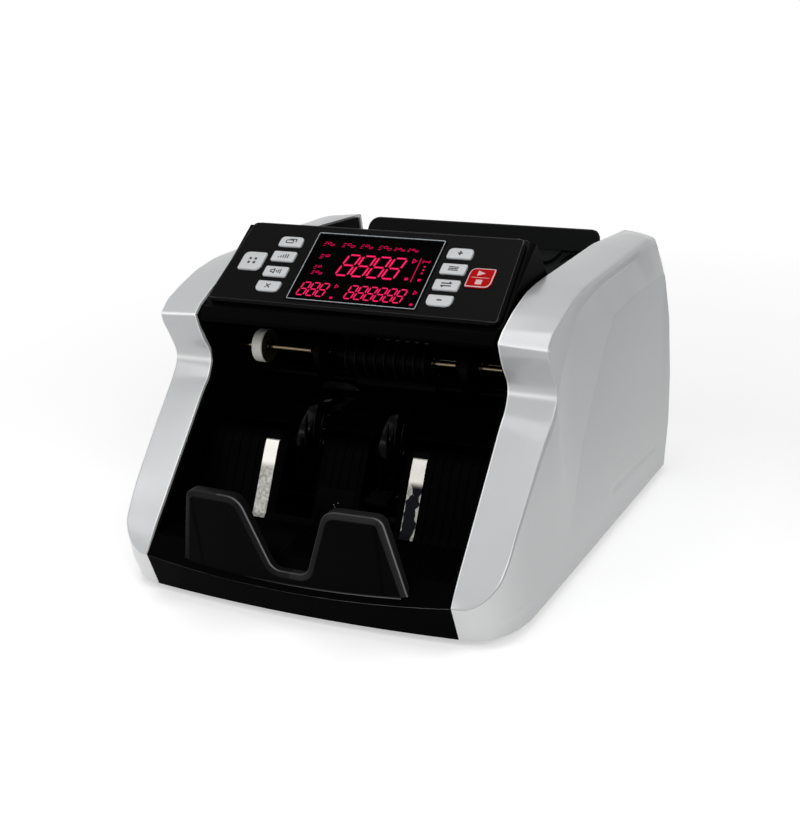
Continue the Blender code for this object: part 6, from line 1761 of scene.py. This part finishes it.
@dataclass
class Studio:
    """Pale floor, soft lamps, white surroundings and the camera of the photograph."""

    azimuth_deg: float = 27.44
    elevation_deg: float = 19.96
    roll_deg: float = -3.11
    lens: float = 1538.53 * 36 / 826
    place: tuple[float, float, float] = (0.4039, -0.7820, 0.3937)
    # Place, aim, width, length, watts of each lamp, in metres
    lamps: tuple[tuple[str, tuple[float, float, float], tuple[float, float, float], float, float, float], ...] = (
        ("right_front_lamp", (1.2, -1.2, 1.3), (0.0, 0.0, 0.1), 1.0, 0.9, 12.5),
        ("left_front_lamp", (-1.2, -1.2, 1.3), (0.0, 0.0, 0.1), 1.0, 0.9, 6.5),
        ("top_lamp", (0.0, 0.0, 1.8), (0.0, 0.0, 0.1), 1.4, 1.2, 10.0),
        ("low_front_lamp", (-0.75, -1.65, 0.22), (0.0, 0.0, 0.12), 1.2, 0.22, 5.6),
    )
    ambient: float = 0.02

    def camera(self) -> None:
        """Puts the camera where the photograph was taken from."""
        az, el, ro = (math.radians(v) for v in (self.azimuth_deg, self.elevation_deg, self.roll_deg))
        back = Vector((math.sin(az) * math.cos(el), -math.cos(az) * math.cos(el), math.sin(el)))
        level = Vector((math.cos(az), math.sin(az), 0))
        upright = back.cross(level)
        right = level * math.cos(ro) + upright * math.sin(ro)
        up = -level * math.sin(ro) + upright * math.cos(ro)
        data = bpy.data.cameras.new("camera")
        data.sensor_width = 36
        data.lens = self.lens
        data.clip_start = 0.01
        made = bpy.data.objects.new("camera", data)
        made.matrix_world = Matrix.Translation(Vector(self.place)) @ Matrix((right, up, back)).transposed().to_4x4()
        bpy.context.scene.collection.objects.link(made)
        bpy.context.scene.camera = made

    def lights(self) -> None:
        """Hangs the soft lamps."""
        for name, place, aim, width, length, watts in self.lamps:
            data = bpy.data.lights.new(name, "AREA")
            data.shape = "RECTANGLE"
            data.size, data.size_y = width, length
            data.energy = watts
            made = bpy.data.objects.new(name, data)
            made.location = place
            made.rotation_euler = (Vector(place) - Vector(aim)).to_track_quat("Z", "Y").to_euler()
            bpy.context.scene.collection.objects.link(made)

    def seen(self, tree: bpy.types.NodeTree) -> bpy.types.NodeSocket:
        """Tells the rays that show the background itself, in view, in gloss or through glass.

        Args:
            tree: Node tree to add to.

        Returns:
            Socket that is one for such rays and nought for others.
        """
        path = add_node(tree, "ShaderNodeLightPath")
        first = add_node(tree, "ShaderNodeMath", {"operation": "MAXIMUM"},
                         {0: path.outputs["Is Camera Ray"], 1: path.outputs["Is Glossy Ray"]})
        return add_node(tree, "ShaderNodeMath", {"operation": "MAXIMUM"},
                        {0: first.outputs[0], 1: path.outputs["Is Transmission Ray"]}).outputs[0]

    def surroundings(self) -> None:
        """White surroundings that give the object a plain even light."""
        world = bpy.data.worlds.new("studio")
        world.use_nodes = True
        tree = world.node_tree
        tree.nodes.clear()
        strength = add_node(tree, "ShaderNodeMapRange", inputs={"Value": self.seen(tree), "To Min": self.ambient,
                                                                "To Max": 1.0})
        white = add_node(tree, "ShaderNodeBackground", inputs={"Color": linear("FFFFFF"),
                                                               "Strength": strength.outputs[0]})
        add_node(tree, "ShaderNodeOutputWorld", inputs={"Surface": white.outputs[0]})
        bpy.context.scene.world = world

    def floor(self) -> None:
        """Pale painted floor: a matt white that shows the shadow."""
        reach = 6000.0
        line = np.linspace(-reach, reach, 9)
        x, y = np.meshgrid(line, line, indexing="ij")
        made = surface("floor", np.stack([x, y, np.zeros_like(x)], axis=2), tidy=False)
        paint = bpy.data.materials.new("matt_white_floor_paint")
        paint.use_nodes = True
        tree = paint.node_tree
        shader = tree.nodes["Principled BSDF"]
        shader.inputs["Base Color"].default_value = linear("F6F6F6")
        shader.inputs["Roughness"].default_value = 0.9
        shader.inputs["Specular IOR Level"].default_value = 0.0
        place = add_node(tree, "ShaderNodeTexCoord").outputs["Object"]
        away = add_node(tree, "ShaderNodeVectorMath", {"operation": "LENGTH"}, {0: place})
        far = add_node(tree, "ShaderNodeMapRange", {"interpolation_type": "SMOOTHSTEP"},
                       {"Value": away.outputs["Value"], "From Min": 0.2, "From Max": 1.6, "To Min": 0.5})
        lift = add_node(tree, "ShaderNodeMath", {"operation": "MULTIPLY"}, {0: self.seen(tree), 1: far.outputs[0]})
        tree.links.new(lift.outputs[0], shader.inputs["Emission Strength"])
        shader.inputs["Emission Color"].default_value = linear("FFFFFF")
        made.data.materials.append(paint)

    def build(self) -> None:
        """Sets the stage."""
        bpy.context.scene.view_settings.view_transform = "Standard"
        self.camera()
        self.lights()
        self.surroundings()
        self.floor()


@dataclass
class Mouldings:
    """Black mouldings, plates and drive parts that keep their CAD shape with rounded edges."""

    pieces: tuple[tuple[str, str, Slot, float], ...] = (
        ("base_tray", "black", Slot.BODY, 0.5),
        ("left_frame_plate", "plate", Slot.PLATE, 0.3),
        ("right_frame_plate", "plate", Slot.PLATE, 0.3),
        ("head_housing", "head", Slot.BODY, 0.9),
        ("hopper_floor", "hopper", Slot.BODY, 0.4),
        ("hopper_back_plate", "hopper", Slot.BODY, 0.9),
        ("separator_bridge", "black", Slot.BODY, 0.8),
        ("gap_adjust_knob", "drive", Slot.DRIVE, 0.4),
        ("hopper_guide_left", "black", Slot.BODY, 0.5),
        ("hopper_guide_right", "black", Slot.BODY, 0.5),
        ("note_chute", "disc", Slot.BODY, 0.3),
        ("sensor_bar", "disc", Slot.BODY, 0.4),
        ("rear_cover", "black", Slot.BODY, 0.6),
        ("power_inlet", "black", Slot.BODY, 0.4),
        ("power_rocker", "red_key", Slot.RED_KEY, 0.4),
        ("wear_strip_left", "strip_left", Slot.WEAR, 0.2),
        ("wear_strip_right", "strip_right", Slot.WEAR, 0.2),
        ("drive_motor", "motor", Slot.MOTOR, 0.6),
        ("transformer", "core", Slot.CORE, 0.5),
        ("main_board", "board", Slot.UNIT, 0.15),
        ("key_board", "board", Slot.UNIT, 0.15),
        ("drive_belt", "belt", Slot.RUBBER, 0.2),
        ("stacker_belt", "belt", Slot.RUBBER, 0.2),
        ("foot_front_left", "rubber", Slot.RUBBER, 0.5),
        ("foot_front_right", "rubber", Slot.RUBBER, 0.5),
        ("foot_rear_left", "rubber", Slot.RUBBER, 0.5),
        ("foot_rear_right", "rubber", Slot.RUBBER, 0.5),
    )
    # Their flats run round slots and openings
    slotted: tuple[str, ...] = ("hopper_floor", "hopper_back_plate")

    def build(self, finishes: Finishes) -> None:
        """Makes them all.

        Args:
            finishes: The machine's materials.
        """
        for node, finish, slot, edge in self.pieces:
            moulding(node, getattr(finishes, finish), slot, edge, split=node in self.slotted)


def main() -> None:
    """Builds the machine and its stage."""
    logging.basicConfig(level=logging.INFO, format="%(message)s")
    finishes = Finishes()
    Studio().build()
    for side, node in ((-1, "left_side_cover"), (1, "right_side_cover")):
        SideCover(side, node).build(finishes)
    StopPlate().build(finishes)
    StackerTray().build(finishes)
    StackerWheels().build(finishes)
    plane = PanelPlane()
    Fascia(plane).build(finishes)
    Keys(plane).build(finishes)
    Display(plane).build(finishes)
    Hopper().build(finishes)
    Rollers().build(finishes)
    Mouldings().build(finishes)


if __name__ == "__main__":
    main()
